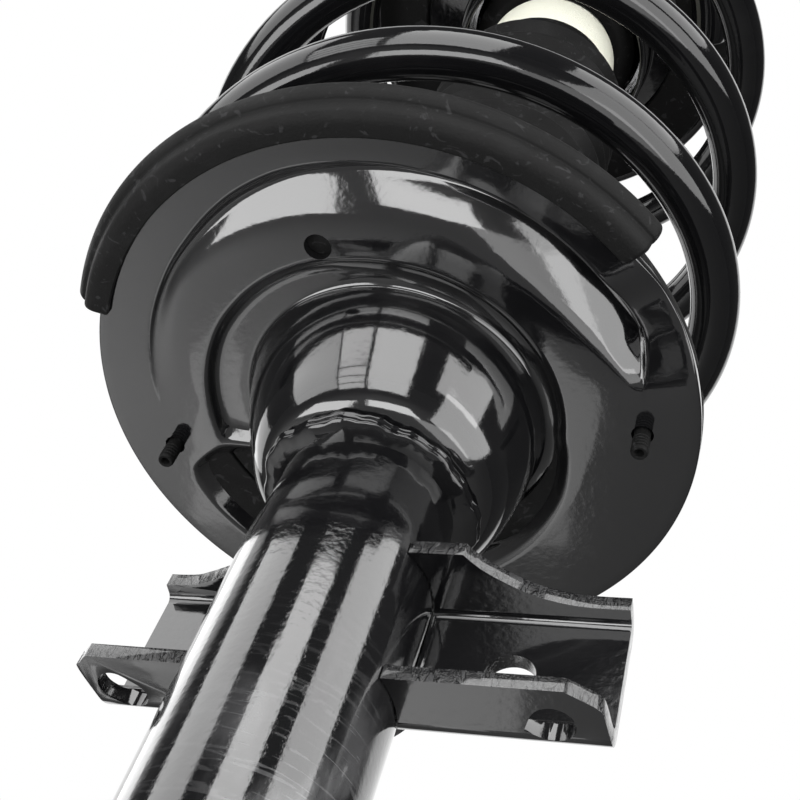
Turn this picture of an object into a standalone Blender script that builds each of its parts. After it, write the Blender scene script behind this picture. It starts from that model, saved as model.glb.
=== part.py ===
"""Front suspension strut assembly, shown at full rebound, in metres, +Z up along the strut axis.

The origin is the centre of the tube's flat foot. The knuckle bracket spreads along X, with its web
towards +Y. The spring and its two seats stand a little off the strut axis, as on the real strut.
Run it with: blender --background --python part.py
"""

import math

import bmesh
import bpy
import numpy as np

# ---------------------------------------------------------------- driving dimensions (metres)

FIT = 0.0003                    # gap between pieces that touch
SLIP = 0.0004                   # radial gap of pieces that slide

# strut tube
TUBE_R = 0.025
TUBE_WALL = 0.0024
NECK_R = 0.0235                 # the tube is swaged down above the bracket
SHOULDER_Z = 0.115
SHOULDER_LENGTH = 0.006
TUBE_TOP_Z = 0.277
FOOT_THICKNESS = 0.006

# knuckle bracket, a bent channel with a saddle behind the tube
BRACKET_Z = 0.085
BRACKET_HEIGHT = 0.040
BRACKET_PLATE = 0.004
BRACKET_BEND_R = 0.006
SADDLE_START = 0.012            # the saddle begins this far above the flange
BRACKET_RIGHT_X = 0.072
BRACKET_LEFT_X = -0.051
WEB_LEFT_X = -0.045
WEB_BACK_Y = 0.010
FLANGE_FRONT_Y = -0.0097
GUSSET_FRONT_Y = -0.0135
GUSSET_RIGHT = ((0.0335, -0.0150), (0.0369, -0.0106), (0.0407, -0.0073), (0.0473, -0.0031),
                (0.0535, -0.0006), (0.0615, 0.0009), (0.0740, 0.0011))
GUSSET_LEFT = ((-0.0200, -0.0062), (-0.0287, -0.0023), (-0.0340, -0.0001), (-0.0392, 0.0013),
               (-0.0530, 0.0017))
CORNER_RIGHT = ((0.0608, -0.0110), (0.0688, -0.0062), (0.0718, 0.0040))
CORNER_LEFT = ((-0.0465, -0.0110), (-0.0498, -0.0074), (-0.0507, -0.0048), (-0.0464, 0.0110))
FLANGE_HOLE_X = 0.0598
FLANGE_HOLE_Y = 0.0008
FLANGE_HOLE_R = 0.0051
FLANGE_HOLE_TIP = 0.0071        # how far the hole's drawn-out corner lies from its centre
FLANGE_HOLE_TURN = math.radians(160.0)
FLANGE_SLOT_X = -0.0412
FLANGE_SLOT_Y = 0.0010
SLOT_R = 0.0044
SLOT_LENGTH = 0.0040
SLOT_TURN = math.radians(38.0)
WEB_HOLE_X = 0.0465
WEB_HOLE_Z = 0.0183             # above the underside of the bottom flange
WEB_HOLE_R = 0.0060

# lower spring seat, a stamped dish round an offset centre
SEAT_Z = 0.185
SEAT_R = 0.085
SEAT_SHEET = 0.003
SPRING_X = -0.0017
SPRING_Y = -0.0079
HUB = ((0.0410, 0.0), (0.0400, -0.0080), (0.0372, -0.0170), (0.0345, -0.0240), (0.0308, -0.0285),
       (0.0268, -0.0300))       # radius and depth of its outside, from the seat down
HUB_SHIFT = 0.5                 # share of the spring's offset that the hub's root has
RECESS_HEIGHT = 0.003
WELD_R = 0.0312
WELD_HEIGHT = 0.0055
INNER_RING_R = 0.0475
GROOVE_IN_R = 0.0555
GROOVE_OUT_R = 0.0755
RAMP_HEIGHT = 0.009
RAMP_START = math.radians(-185.0)
RAMP_END = math.radians(-17.0)
RAMP_FOOT = math.radians(-5.0)
DRAIN_R = 0.0522
DRAIN_ANGLE = math.radians(-101.0)
DRAIN_HOLE_R = 0.0037
NUB_RADIUS = 0.0698             # from the spring's centre
NUB_ANGLES = (math.radians(6.0), math.radians(168.0))
NUB_R = 0.0024
NUB_REACH = 0.008

# lower insulator, rubber
PAD_SHEET = 0.003
PAD_WALL = 0.004
PAD_LIP = 0.0081                # the lip's reach past the rim
PAD_LIP_RISE = 0.0055
PAD_RISE = 0.009
PAD_DROP = 0.002
PAD_TUCK = 0.003
PAD_BED_START = math.radians(-2.0)
PAD_BED_END = math.radians(173.0)
WRAP_START = math.radians(-158.0)
WRAP_END = math.radians(-33.0)

# coil spring, right-handed, with drawn-in ends; its turns are counted from the strut's left side
WIRE_R = 0.00725
COIL_R = 0.0856
COIL_DRAW = 0.0186              # how far the ends are drawn in
COIL_DRAW_TURNS = 0.417
COIL_ZERO = math.radians(-50.5)
COIL_START = -0.875             # turns
COIL_OPEN_END = 2.0
COIL_BASE = 0.0549              # height over the seat at turn 0
COIL_CLIMB = 0.0617
COIL_OPENING = 0.0099           # growth of the climb, per turn squared
COIL_REST = 0.15                # turns that lie flat on the upper seat
COIL_SOFTNESS = 0.0012
COIL_POINTS = 24                # to a turn

# upper seat and bearing
SEAT_GAP = 0.2765               # from the lower seat's top face to the upper seat's underside
UPPER_SEAT_R = 0.080
UPPER_SHEET = 0.0025
UPPER_HUB_R = 0.040
UPPER_HUB_DEPTH = 0.018
UPPER_LIP = 0.006
UPPER_PAD_IN_R = 0.054
UPPER_PAD_OUT_R = 0.0765
UPPER_PAD_SHEET = 0.003
RACE_IN_R = 0.036
RACE_OUT_R = 0.048
RACE_SHEET = 0.004
BALL_R = 0.0035
BALL_COUNT = 12
BALL_FIRST = math.radians(4.0)
CAGE_SHEET = 0.002

# top mount
HOUSING_R = 0.055
HOUSING_SHEET = 0.005
EAR_MARGIN = 0.0085             # from a stud to the ear's edge
EAR_SPREAD = math.radians(17.0)
CROWN_R = 0.040
CROWN_WALL = 0.003
CROWN_HEIGHT = 0.020
CROWN_MOUTH_R = 0.026
SLEEVE_R = 0.0145
SLEEVE_FLANGE_R = 0.025
SLEEVE_FLANGE = 0.0035
SLEEVE_STAND = 0.007            # how far the sleeve stands above the crown
STUD_COUNT = 3
STUD_CLEAR = 0.001              # from a stud's head to the bearing
STUD_R = 0.004
STUD_LENGTH = 0.026
STUD_HEAD_R = 0.0065
STUD_HEAD = 0.0024
STUD_FIRST = math.radians(30.0)
NUT_FLAT = 0.0065               # half across the flats
NUT_HEIGHT = 0.008

# rod and damper
ROD_R = 0.010
THREAD_R = 0.007
THREAD_LENGTH = 0.026
ROD_WASHER_R = 0.019
ROD_WASHER = 0.003
ROD_NUT_FLAT = 0.011
ROD_NUT_HEIGHT = 0.012
CYLINDER_R = 0.0175
CYLINDER_WALL = 0.0016
CYLINDER_START_Z = 0.012
GUIDE_TOP_DROP = 0.009          # the rod guide's top below the tube's top
GUIDE_HEIGHT = 0.016
GUIDE_SPIGOT = 0.010
BUSH_WALL = 0.0012
SEAL_HEIGHT = 0.0045
GLAND_FLANGE = 0.005
CAP_SHEET = 0.0025
CAP_SKIRT = 0.018
CAP_WALL = 0.0014
STOP_RING = 0.008
STOP_RING_R = 0.0138
BUFFER_HEIGHT = 0.010
PISTON_DROP = 0.035             # from the stop ring down to the piston
PISTON_HEIGHT = 0.018
PISTON_STEM_R = 0.006
BAND_HEIGHT = 0.009
BAND_WALL = 0.0012
PISTON_NUT_HEIGHT = 0.007
VALVE_HEIGHT = 0.012
VALVE_BORE_R = 0.004

# bump stop and dust boot
TRAVEL = 0.095
STOP_CLEAR = 0.003              # left under the bump stop at the end of the travel
BUMP_R = 0.027
BUMP_TOP_GAP = 0.0003
BUMP_GROOVE_R = 0.0238
BUMP_GROOVE = 0.012
BUMP_HEAD = 0.028
BUMP_TIP_R = 0.017
BOOT_WALL = 0.0016
BOOT_COLLAR_R = 0.0285
BOOT_RIB_R = 0.0360
BOOT_VALLEY_R = 0.0315
BOOT_RIBS = 12
BOOT_FOOT_DROP = 0.026          # below the tube's top
BOOT_FOOT = 0.008

# facets round a full turn
ROUND_LARGE = 48
ROUND_BODY = 32
ROUND_BOOT = 24
ROUND_SMALL = 20

# ---------------------------------------------------------------- places worked out from them

TUBE_BORE_R = TUBE_R - TUBE_WALL
NECK_BORE_R = NECK_R - TUBE_WALL
SEAT_TOP_Z = SEAT_Z + SEAT_SHEET
PAD_TOP_Z = SEAT_TOP_Z + FIT + PAD_SHEET
LOWER_WIRE_Z = PAD_TOP_Z + FIT + WIRE_R
UPPER_SEAT_Z = SEAT_TOP_Z + SEAT_GAP
UPPER_PAD_Z = UPPER_SEAT_Z - FIT - UPPER_PAD_SHEET
UPPER_WIRE_Z = UPPER_PAD_Z - FIT - WIRE_R
UPPER_SEAT_TOP_Z = UPPER_SEAT_Z + UPPER_SHEET
LOWER_RACE_Z = UPPER_SEAT_TOP_Z + FIT
BALL_CIRCLE_R = (RACE_IN_R + RACE_OUT_R) / 2.0
STUD_CIRCLE_R = RACE_OUT_R + STUD_CLEAR + STUD_HEAD_R
EAR_REACH = STUD_CIRCLE_R + EAR_MARGIN - HOUSING_R
BALL_SINK = BALL_R * 0.55
BALL_Z = LOWER_RACE_Z + RACE_SHEET + BALL_R - BALL_SINK + FIT
UPPER_RACE_Z = BALL_Z + BALL_R - BALL_SINK + FIT
HOUSING_Z = UPPER_RACE_Z + RACE_SHEET + FIT
HOUSING_TOP_Z = HOUSING_Z + HOUSING_SHEET
CROWN_TOP_Z = HOUSING_Z + CROWN_HEIGHT
SLEEVE_Z = UPPER_SEAT_Z - UPPER_HUB_DEPTH + SLEEVE_FLANGE
SLEEVE_TOP_Z = CROWN_TOP_Z + SLEEVE_STAND
BUMP_TOP_Z = SLEEVE_Z - BUMP_TOP_GAP
GUIDE_TOP_Z = TUBE_TOP_Z - GUIDE_TOP_DROP
GUIDE_Z = GUIDE_TOP_Z - GUIDE_HEIGHT
SEAL_Z = GUIDE_TOP_Z + FIT
GLAND_Z = SEAL_Z + SEAL_HEIGHT + FIT
GLAND_TOP_Z = TUBE_TOP_Z + FIT + GLAND_FLANGE
CAP_TOP_Z = GLAND_TOP_Z + FIT + CAP_SHEET
CAP_SKIRT_Z = GLAND_TOP_Z - CAP_SKIRT
BUMP_TIP_Z = CAP_TOP_Z + TRAVEL + STOP_CLEAR
CYLINDER_BORE_R = CYLINDER_R - CYLINDER_WALL
CYLINDER_TOP_Z = GUIDE_Z - FIT
STOP_TOP_Z = GUIDE_Z - GUIDE_SPIGOT - BUFFER_HEIGHT - 2.0 * FIT
PISTON_TOP_Z = STOP_TOP_Z - STOP_RING - PISTON_DROP
PISTON_Z = PISTON_TOP_Z - PISTON_HEIGHT
PISTON_R = CYLINDER_BORE_R - SLIP - BAND_WALL * 0.5
BOOT_FOOT_Z = TUBE_TOP_Z - BOOT_FOOT_DROP
BUMP_HEAD_Z = BUMP_TOP_Z - BUMP_HEAD
BOOT_TOP_Z = BUMP_HEAD_Z - FIT
BOOT_COLLAR_Z = BUMP_HEAD_Z - BUMP_GROOVE + FIT
FLANGE_TOP_Z = BRACKET_Z + BRACKET_PLATE
BRACKET_TOP_Z = BRACKET_Z + BRACKET_HEIGHT
SADDLE_IN_R = TUBE_R + FIT
SADDLE_OUT_R = SADDLE_IN_R + BRACKET_PLATE


# ---------------------------------------------------------------- making meshes

def clear_scene():
    """Remove every object that the file opened with."""
    for item in list(bpy.data.objects):
        bpy.data.objects.remove(item, do_unlink=True)


def finish(name, color, roughness, metallic):
    """A plain Principled material for one sub-part."""
    material = bpy.data.materials.new(name)
    material.use_nodes = True
    shader = material.node_tree.nodes["Principled BSDF"]
    shader.inputs["Base Color"].default_value = (*color, 1.0)
    shader.inputs["Roughness"].default_value = roughness
    shader.inputs["Metallic"].default_value = metallic
    return material


FINISHES = {}


def use_finish(item, kind):
    """Give an object its own material of one of the strut's kinds of finish."""
    color, roughness, metallic = FINISHES[kind]
    item.data.materials.append(finish(item.name + "_" + kind, color, roughness, metallic))


def set_up_finishes():
    """Colour, roughness and metallic value of each kind of surface."""
    FINISHES["black_paint"] = ((0.012, 0.012, 0.013), 0.18, 0.0)
    FINISHES["bare_steel"] = ((0.55, 0.55, 0.56), 0.35, 1.0)
    FINISHES["chromed"] = ((0.75, 0.75, 0.76), 0.08, 1.0)
    FINISHES["zinc"] = ((0.60, 0.60, 0.58), 0.30, 1.0)
    FINISHES["sintered"] = ((0.32, 0.31, 0.30), 0.55, 1.0)
    FINISHES["rubber"] = ((0.035, 0.035, 0.037), 0.75, 0.0)
    FINISHES["foam"] = ((0.86, 0.86, 0.72), 0.60, 0.0)
    FINISHES["bronze_lining"] = ((0.45, 0.30, 0.16), 0.45, 1.0)
    FINISHES["nylon"] = ((0.75, 0.74, 0.68), 0.50, 0.0)


def mesh_object(name, points, faces, kind, parent=None):
    """An object from points and faces, with its faces turned outwards and shaded smooth."""
    mesh = bpy.data.meshes.new(name)
    mesh.from_pydata([tuple(point) for point in points], [], faces)
    work = bmesh.new()
    work.from_mesh(mesh)
    bmesh.ops.recalc_face_normals(work, faces=work.faces)
    work.to_mesh(mesh)
    work.free()
    mesh.shade_smooth()
    mesh.set_sharp_from_angle(angle=math.radians(32.0))
    item = bpy.data.objects.new(name, mesh)
    bpy.context.collection.objects.link(item)
    item.parent = parent
    use_finish(item, kind)
    return item


def loft(name, columns, kind, closed, parent=None):
    """A solid through closed sections of equal length; an open one gets flat ends."""
    count = len(columns[0])
    points = [point for column in columns for point in column]
    faces = []
    last = len(columns) if closed else len(columns) - 1
    for index in range(last):
        here = index * count
        there = ((index + 1) % len(columns)) * count
        for step in range(count):
            after = (step + 1) % count
            faces.append((here + step, here + after, there + after, there + step))
    if not closed:
        faces.append(tuple(range(count)))
        faces.append(tuple(range((len(columns) - 1) * count, len(columns) * count)))
    return mesh_object(name, points, faces, kind, parent)


def turn_ring(name, section, kind, sides, parent=None, centre=(0.0, 0.0)):
    """A ring: a closed section of (radius, height) turned round a vertical axis."""
    columns = []
    for index in range(sides):
        angle = 2.0 * math.pi * index / sides
        columns.append([(centre[0] + radius * math.cos(angle),
                         centre[1] + radius * math.sin(angle), height)
                        for radius, height in section])
    return loft(name, columns, kind, True, parent)


def turn_solid(name, outline, kind, sides, parent=None, centre=(0.0, 0.0)):
    """A solid of revolution: rings from bottom to top, closed by flat discs at both ends."""
    columns = []
    for radius, height in outline:
        columns.append([(centre[0] + radius * math.cos(2.0 * math.pi * index / sides),
                         centre[1] + radius * math.sin(2.0 * math.pi * index / sides), height)
                        for index in range(sides)])
    return loft(name, columns, kind, False, parent)


def prism(name, outline, bottom, top, kind, parent=None):
    """A flat outline of (x, y) points, pulled up from one height to another."""
    columns = [[(x, y, height) for x, y in outline] for height in (bottom, top)]
    return loft(name, columns, kind, False, parent)


def arc(centre, radius, start, end, steps):
    """Points on an arc of (x, y), both ends included."""
    return [(centre[0] + radius * math.cos(start + (end - start) * step / steps),
             centre[1] + radius * math.sin(start + (end - start) * step / steps))
            for step in range(steps + 1)]


def combine(target, tool, operation):
    """Cut a tool from a target or join it to it, and keep the tool as a hidden guide."""
    modifier = target.modifiers.new(operation.lower() + "_" + tool.name, "BOOLEAN")
    modifier.operation = operation
    modifier.solver = "EXACT"
    modifier.object = tool
    tool.hide_render = True
    tool.display_type = "WIRE"
    tool.hide_viewport = False


def post(name, x, y, radius, bottom, top, sides=ROUND_SMALL):
    """An upright round cutter or peg."""
    return turn_solid(name, [(radius, bottom), (radius, top)], "zinc", sides, None, (x, y))


def hexagon(flat, x=0.0, y=0.0):
    """The corners of a hexagon with a given half width across its flats."""
    corner = flat / math.cos(math.pi / 6.0)
    return [(x + corner * math.cos(math.pi * index / 3.0),
             y + corner * math.sin(math.pi * index / 3.0)) for index in range(6)]


def smooth_step(value):
    """0 below 0, 1 above 1, and a smooth rise between."""
    value = min(max(value, 0.0), 1.0)
    return value * value * (3.0 - 2.0 * value)


def spring_point(radius, angle, height):
    """A point given round the spring's own centre."""
    return (SPRING_X + radius * math.cos(angle), SPRING_Y + radius * math.sin(angle), height)


# ---------------------------------------------------------------- tube and damper

def make_strut_tube():
    """The outer tube: wide below, swaged to its neck above the bracket."""
    shoulder_top = SHOULDER_Z + SHOULDER_LENGTH
    section = [(TUBE_R, 0.0), (TUBE_R, SHOULDER_Z), (NECK_R, shoulder_top), (NECK_R, TUBE_TOP_Z),
               (NECK_BORE_R, TUBE_TOP_Z), (NECK_BORE_R, shoulder_top),
               (TUBE_BORE_R, SHOULDER_Z), (TUBE_BORE_R, 0.0)]
    turn_ring("strut_tube", section, "black_paint", ROUND_BODY)


def make_foot():
    """The disc that closes the foot of the tube."""
    radius = TUBE_BORE_R - FIT
    outline = [(radius - 0.0008, 0.0), (radius, 0.0008), (radius, FOOT_THICKNESS)]
    turn_solid("tube_foot", outline, "black_paint", ROUND_BODY)


def make_damper():
    """The parts inside the tube that don't move: cylinder, foot valve, guide, seal and gland."""
    bore = CYLINDER_BORE_R
    turn_ring("pressure_cylinder",
              [(CYLINDER_R, CYLINDER_START_Z), (CYLINDER_R, CYLINDER_TOP_Z),
               (bore, CYLINDER_TOP_Z), (bore, CYLINDER_START_Z)],
              "bare_steel", ROUND_SMALL)
    valve_z = FOOT_THICKNESS + FIT
    plug_top = CYLINDER_START_Z + VALVE_HEIGHT
    plug_r = bore - FIT
    turn_ring("foot_valve",
              [(CYLINDER_R, valve_z), (CYLINDER_R, CYLINDER_START_Z - FIT),
               (plug_r, CYLINDER_START_Z - FIT), (plug_r, plug_top),
               (VALVE_BORE_R, plug_top), (VALVE_BORE_R, valve_z)],
              "sintered", ROUND_SMALL)
    disc_r = VALVE_BORE_R * 2.5
    disc_z = plug_top + FIT
    pin_r = VALVE_BORE_R - FIT
    turn_solid("foot_valve_disc",
               [(pin_r, plug_top - VALVE_HEIGHT * 0.5), (pin_r, disc_z), (disc_r, disc_z),
                (disc_r, disc_z + 0.0012)],
               "bare_steel", ROUND_SMALL)
    bush_out = ROD_R + SLIP + BUSH_WALL
    guide_bore = bush_out + FIT
    guide_r = NECK_BORE_R - FIT
    turn_ring("rod_guide",
              [(plug_r, GUIDE_Z - GUIDE_SPIGOT), (plug_r, GUIDE_Z), (guide_r, GUIDE_Z),
               (guide_r, GUIDE_TOP_Z), (guide_bore, GUIDE_TOP_Z),
               (guide_bore, GUIDE_Z - GUIDE_SPIGOT)],
              "sintered", ROUND_SMALL)
    turn_ring("guide_bush",
              [(bush_out, GUIDE_Z - GUIDE_SPIGOT), (bush_out, GUIDE_TOP_Z),
               (ROD_R + SLIP, GUIDE_TOP_Z), (ROD_R + SLIP, GUIDE_Z - GUIDE_SPIGOT)],
              "bronze_lining", ROUND_SMALL)
    seal_top = SEAL_Z + SEAL_HEIGHT
    turn_ring("rod_seal",
              [(guide_r, SEAL_Z), (guide_r, seal_top), (ROD_R + SLIP, seal_top),
               (ROD_R + SLIP, SEAL_Z)],
              "rubber", ROUND_SMALL)
    gland_bore = ROD_R + 4.0 * SLIP
    turn_ring("gland_ring",
              [(guide_r, GLAND_Z), (guide_r, TUBE_TOP_Z + FIT), (NECK_R, TUBE_TOP_Z + FIT),
               (NECK_R, GLAND_TOP_Z), (gland_bore, GLAND_TOP_Z), (gland_bore, GLAND_Z)],
              "zinc", ROUND_SMALL)
    skirt_in = NECK_R + FIT
    skirt_out = skirt_in + CAP_WALL
    turn_ring("bump_cap",
              [(skirt_in, CAP_SKIRT_Z), (skirt_out, CAP_SKIRT_Z),
               (skirt_out, CAP_TOP_Z - CAP_WALL), (skirt_out - CAP_WALL, CAP_TOP_Z),
               (gland_bore, CAP_TOP_Z), (gland_bore, CAP_TOP_Z - CAP_SHEET),
               (skirt_in, CAP_TOP_Z - CAP_SHEET)],
              "zinc", ROUND_BODY)


def make_rod(parent):
    """The rod and all that it carries inside the cylinder."""
    stem_z = PISTON_Z - PISTON_NUT_HEIGHT - 2.0 * FIT
    stem_top = PISTON_TOP_Z + FIT
    turn_solid("piston_rod",
               [(PISTON_STEM_R, stem_z), (PISTON_STEM_R, stem_top), (ROD_R, stem_top),
                (ROD_R, SLEEVE_TOP_Z + FIT), (THREAD_R, SLEEVE_TOP_Z + FIT),
                (THREAD_R, SLEEVE_TOP_Z + THREAD_LENGTH - 0.001),
                (THREAD_R - 0.001, SLEEVE_TOP_Z + THREAD_LENGTH)],
               "chromed", ROUND_SMALL, parent)
    stem_gap = PISTON_STEM_R + FIT
    band_z = PISTON_Z + (PISTON_HEIGHT - BAND_HEIGHT) / 2.0
    band_top = band_z + BAND_HEIGHT
    seat_r = PISTON_R - BAND_WALL
    turn_ring("piston",
              [(PISTON_R, PISTON_Z), (PISTON_R, band_z - FIT), (seat_r, band_z - FIT),
               (seat_r, band_top + FIT), (PISTON_R, band_top + FIT), (PISTON_R, PISTON_TOP_Z),
               (stem_gap, PISTON_TOP_Z), (stem_gap, PISTON_Z)],
              "sintered", ROUND_SMALL, parent)
    turn_ring("piston_band",
              [(seat_r + BAND_WALL + FIT, band_z), (seat_r + BAND_WALL + FIT, band_top),
               (seat_r + FIT, band_top), (seat_r + FIT, band_z)],
              "nylon", ROUND_SMALL, parent)
    nut_top = PISTON_Z - FIT
    ring_prism("piston_nut", hexagon(PISTON_STEM_R * 1.6), stem_gap,
               nut_top - PISTON_NUT_HEIGHT, nut_top, "zinc", parent)
    ring_gap = ROD_R + FIT
    turn_ring("rebound_stop",
              [(STOP_RING_R, STOP_TOP_Z - STOP_RING), (STOP_RING_R, STOP_TOP_Z),
               (ring_gap, STOP_TOP_Z), (ring_gap, STOP_TOP_Z - STOP_RING)],
              "bare_steel", ROUND_SMALL, parent)
    buffer_z = STOP_TOP_Z + FIT
    middle = buffer_z + BUFFER_HEIGHT / 2.0
    turn_ring("rebound_buffer",
              [(STOP_RING_R, buffer_z), (STOP_RING_R + 0.0006, middle),
               (STOP_RING_R, buffer_z + BUFFER_HEIGHT - FIT),
               (ring_gap, buffer_z + BUFFER_HEIGHT - FIT), (ring_gap, buffer_z)],
              "rubber", ROUND_SMALL, parent)


def ring_prism(name, outline, bore, bottom, top, kind, parent, centre=(0.0, 0.0)):
    """A nut: an upright outline with a round hole, whose facets follow the outline's corners."""
    per_side = 4
    count = len(outline)
    outer = []
    inner = []
    for index in range(count):
        start = outline[index]
        end = outline[(index + 1) % count]
        for step in range(per_side):
            share = step / per_side
            x = start[0] + (end[0] - start[0]) * share
            y = start[1] + (end[1] - start[1]) * share
            angle = math.atan2(y - centre[1], x - centre[0])
            outer.append((x, y))
            inner.append((centre[0] + bore * math.cos(angle), centre[1] + bore * math.sin(angle)))
    columns = [[(*outer[index], bottom), (*outer[index], top), (*inner[index], top),
                (*inner[index], bottom)] for index in range(len(outer))]
    return loft(name, columns, kind, True, parent)


# ---------------------------------------------------------------- knuckle bracket

def channel_section():
    """The bent channel's closed section in (y, z), from the bottom flange's front edge round."""
    outer = BRACKET_BEND_R
    inner = BRACKET_BEND_R - BRACKET_PLATE
    low = (WEB_BACK_Y - outer, BRACKET_Z + outer)
    high = (WEB_BACK_Y - outer, BRACKET_TOP_Z - outer)
    section = [(FLANGE_FRONT_Y, BRACKET_Z)]
    section += arc(low, outer, -math.pi / 2.0, 0.0, 4)
    section += arc(high, outer, 0.0, math.pi / 2.0, 4)
    section += [(GUSSET_FRONT_Y, BRACKET_TOP_Z), (GUSSET_FRONT_Y, BRACKET_TOP_Z - BRACKET_PLATE)]
    section += arc(high, inner, math.pi / 2.0, 0.0, 4)
    section += arc(low, inner, 0.0, -math.pi / 2.0, 4)
    section += [(FLANGE_FRONT_Y, FLANGE_TOP_Z)]
    return section


def gusset_cutter(name, edge):
    """What is cut from the top flange on one side, so that its free edge sweeps to its tip."""
    front = GUSSET_FRONT_Y - 0.005
    outline = list(edge) + [(edge[-1][0], front), (edge[0][0], front)]
    return prism(name, outline, BRACKET_TOP_Z - BRACKET_PLATE - 0.001, BRACKET_TOP_Z + 0.001, "zinc")


def corner_cutter(name, edge, top):
    """What is cut from one end of the bottom flange, beyond a line of (x, y) points."""
    beyond = edge[-1][0] + math.copysign(0.006, edge[0][0])
    outline = list(edge) + [(beyond, edge[-1][1]), (beyond, edge[0][1])]
    return prism(name, outline, BRACKET_Z - 0.001, top, "zinc")


def drop_outline(x, y, radius, reach, turn):
    """A round hole with one corner drawn out to a point."""
    half = math.acos(radius / reach)
    outline = arc((x, y), radius, turn + half, turn + 2.0 * math.pi - half, 16)
    return outline + [(x + reach * math.cos(turn), y + reach * math.sin(turn))]


def slot_outline(x, y, radius, length, turn):
    """A round-ended slot."""
    half = length / 2.0
    ends = arc((half, 0.0), radius, -math.pi / 2.0, math.pi / 2.0, 8)
    ends += arc((-half, 0.0), radius, math.pi / 2.0, 1.5 * math.pi, 8)
    return [(x + u * math.cos(turn) - v * math.sin(turn),
             y + u * math.sin(turn) + v * math.cos(turn)) for u, v in ends]


def make_bracket():
    """The channel, trimmed and drilled, joined by the saddle that wraps the tube's back."""
    section = channel_section()
    columns = [[(x, y, z) for y, z in section] for x in (BRACKET_LEFT_X, BRACKET_RIGHT_X)]
    bracket = loft("knuckle_bracket", columns, "black_paint", False)

    low = BRACKET_Z - 0.001
    over = BRACKET_TOP_Z + 0.001
    web_trim = prism("web_trim", [(BRACKET_LEFT_X - 0.002, -0.03), (WEB_LEFT_X, -0.03),
                                  (WEB_LEFT_X, 0.03), (BRACKET_LEFT_X - 0.002, 0.03)],
                     FLANGE_TOP_Z + BRACKET_BEND_R - BRACKET_PLATE, over, "zinc")
    combine(bracket, web_trim, "DIFFERENCE")
    combine(bracket, gusset_cutter("gusset_cutter_right", GUSSET_RIGHT), "DIFFERENCE")
    combine(bracket, gusset_cutter("gusset_cutter_left", GUSSET_LEFT), "DIFFERENCE")
    above = FLANGE_TOP_Z + 0.001
    combine(bracket, corner_cutter("corner_cutter_right", CORNER_RIGHT, above), "DIFFERENCE")
    combine(bracket, corner_cutter("corner_cutter_left", CORNER_LEFT, above + 0.003), "DIFFERENCE")
    hole = prism("flange_hole_cutter",
                 drop_outline(FLANGE_HOLE_X, FLANGE_HOLE_Y, FLANGE_HOLE_R, FLANGE_HOLE_TIP,
                              FLANGE_HOLE_TURN), low, above, "zinc")
    combine(bracket, hole, "DIFFERENCE")
    slot = prism("flange_slot_cutter",
                 slot_outline(FLANGE_SLOT_X, FLANGE_SLOT_Y, SLOT_R, SLOT_LENGTH, SLOT_TURN),
                 low, above, "zinc")
    combine(bracket, slot, "DIFFERENCE")
    web_hole_z = BRACKET_Z + WEB_HOLE_Z
    ring = arc((WEB_HOLE_X, web_hole_z), WEB_HOLE_R, 0.0, 2.0 * math.pi * 19.0 / 20.0, 19)
    columns = [[(x, y, z) for x, z in ring]
               for y in (WEB_BACK_Y - BRACKET_PLATE - 0.001, WEB_BACK_Y + 0.001)]
    combine(bracket, loft("web_hole_cutter", columns, "zinc", False), "DIFFERENCE")
    combine(bracket, post("tube_bore_cutter", 0.0, 0.0, SADDLE_IN_R, low - 0.02, over + 0.02,
                          ROUND_BODY), "DIFFERENCE")

    inset = 0.0006
    start = math.asin((WEB_BACK_Y - BRACKET_PLATE) / SADDLE_OUT_R) + 0.02
    outline = arc((0.0, 0.0), SADDLE_OUT_R, start, math.pi - start, 20)
    outline += arc((0.0, 0.0), SADDLE_IN_R, math.pi - start, start, 20)
    saddle = prism("saddle_guide", outline, BRACKET_Z + SADDLE_START, BRACKET_TOP_Z - inset, "zinc")
    combine(bracket, saddle, "UNION")


# ---------------------------------------------------------------- lower seat and insulator

def seat_profile():
    """The seat's underside: (radius, height, share of the spring's offset, share of the ramp)."""
    depth = HUB[-1][1]
    profile = [(radius, height, HUB_SHIFT * (1.0 - height / depth) ** 2, 0.0)
               for radius, height in reversed(HUB)]
    profile += [(HUB[0][0] + 0.0012, RECESS_HEIGHT, HUB_SHIFT, 0.0),
                (INNER_RING_R - 0.0020, RECESS_HEIGHT, 1.0, 0.0),
                (INNER_RING_R, 0.0, 1.0, 0.0), (GROOVE_IN_R, 0.0, 1.0, 0.0)]
    for share in (0.2, 0.5, 0.8):
        profile.append((GROOVE_IN_R + (GROOVE_OUT_R - GROOVE_IN_R) * share, 0.0, 1.0,
                        math.sin(share * math.pi) ** 0.7))
    profile += [(GROOVE_OUT_R, 0.0, 1.0, 0.0), (SEAT_R - 0.0006, 0.0, 1.0, 0.0),
                (SEAT_R, 0.0008, 1.0, 0.0)]
    return profile


def ramp_height(angle):
    """How high the groove's ramp stands at an angle; it climbs slowly and ends in the coil's stop."""
    angle = (angle - RAMP_FOOT) % (2.0 * math.pi) - 2.0 * math.pi + RAMP_FOOT
    if angle <= RAMP_START:
        return 0.0
    if angle <= RAMP_END:
        return RAMP_HEIGHT * smooth_step((angle - RAMP_START) / (RAMP_END - RAMP_START) * 1.15)
    return RAMP_HEIGHT * (1.0 - smooth_step((angle - RAMP_END) / (RAMP_FOOT - RAMP_END)))


def offset_line(points, distance):
    """A line of (radius, height) points moved sideways by a distance, to its left."""
    line = np.array(points)
    along = np.gradient(line, axis=0)
    along /= np.linalg.norm(along, axis=1)[:, None]
    left = np.stack([-along[:, 1], along[:, 0]], axis=1)
    return line + left * distance


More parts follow.
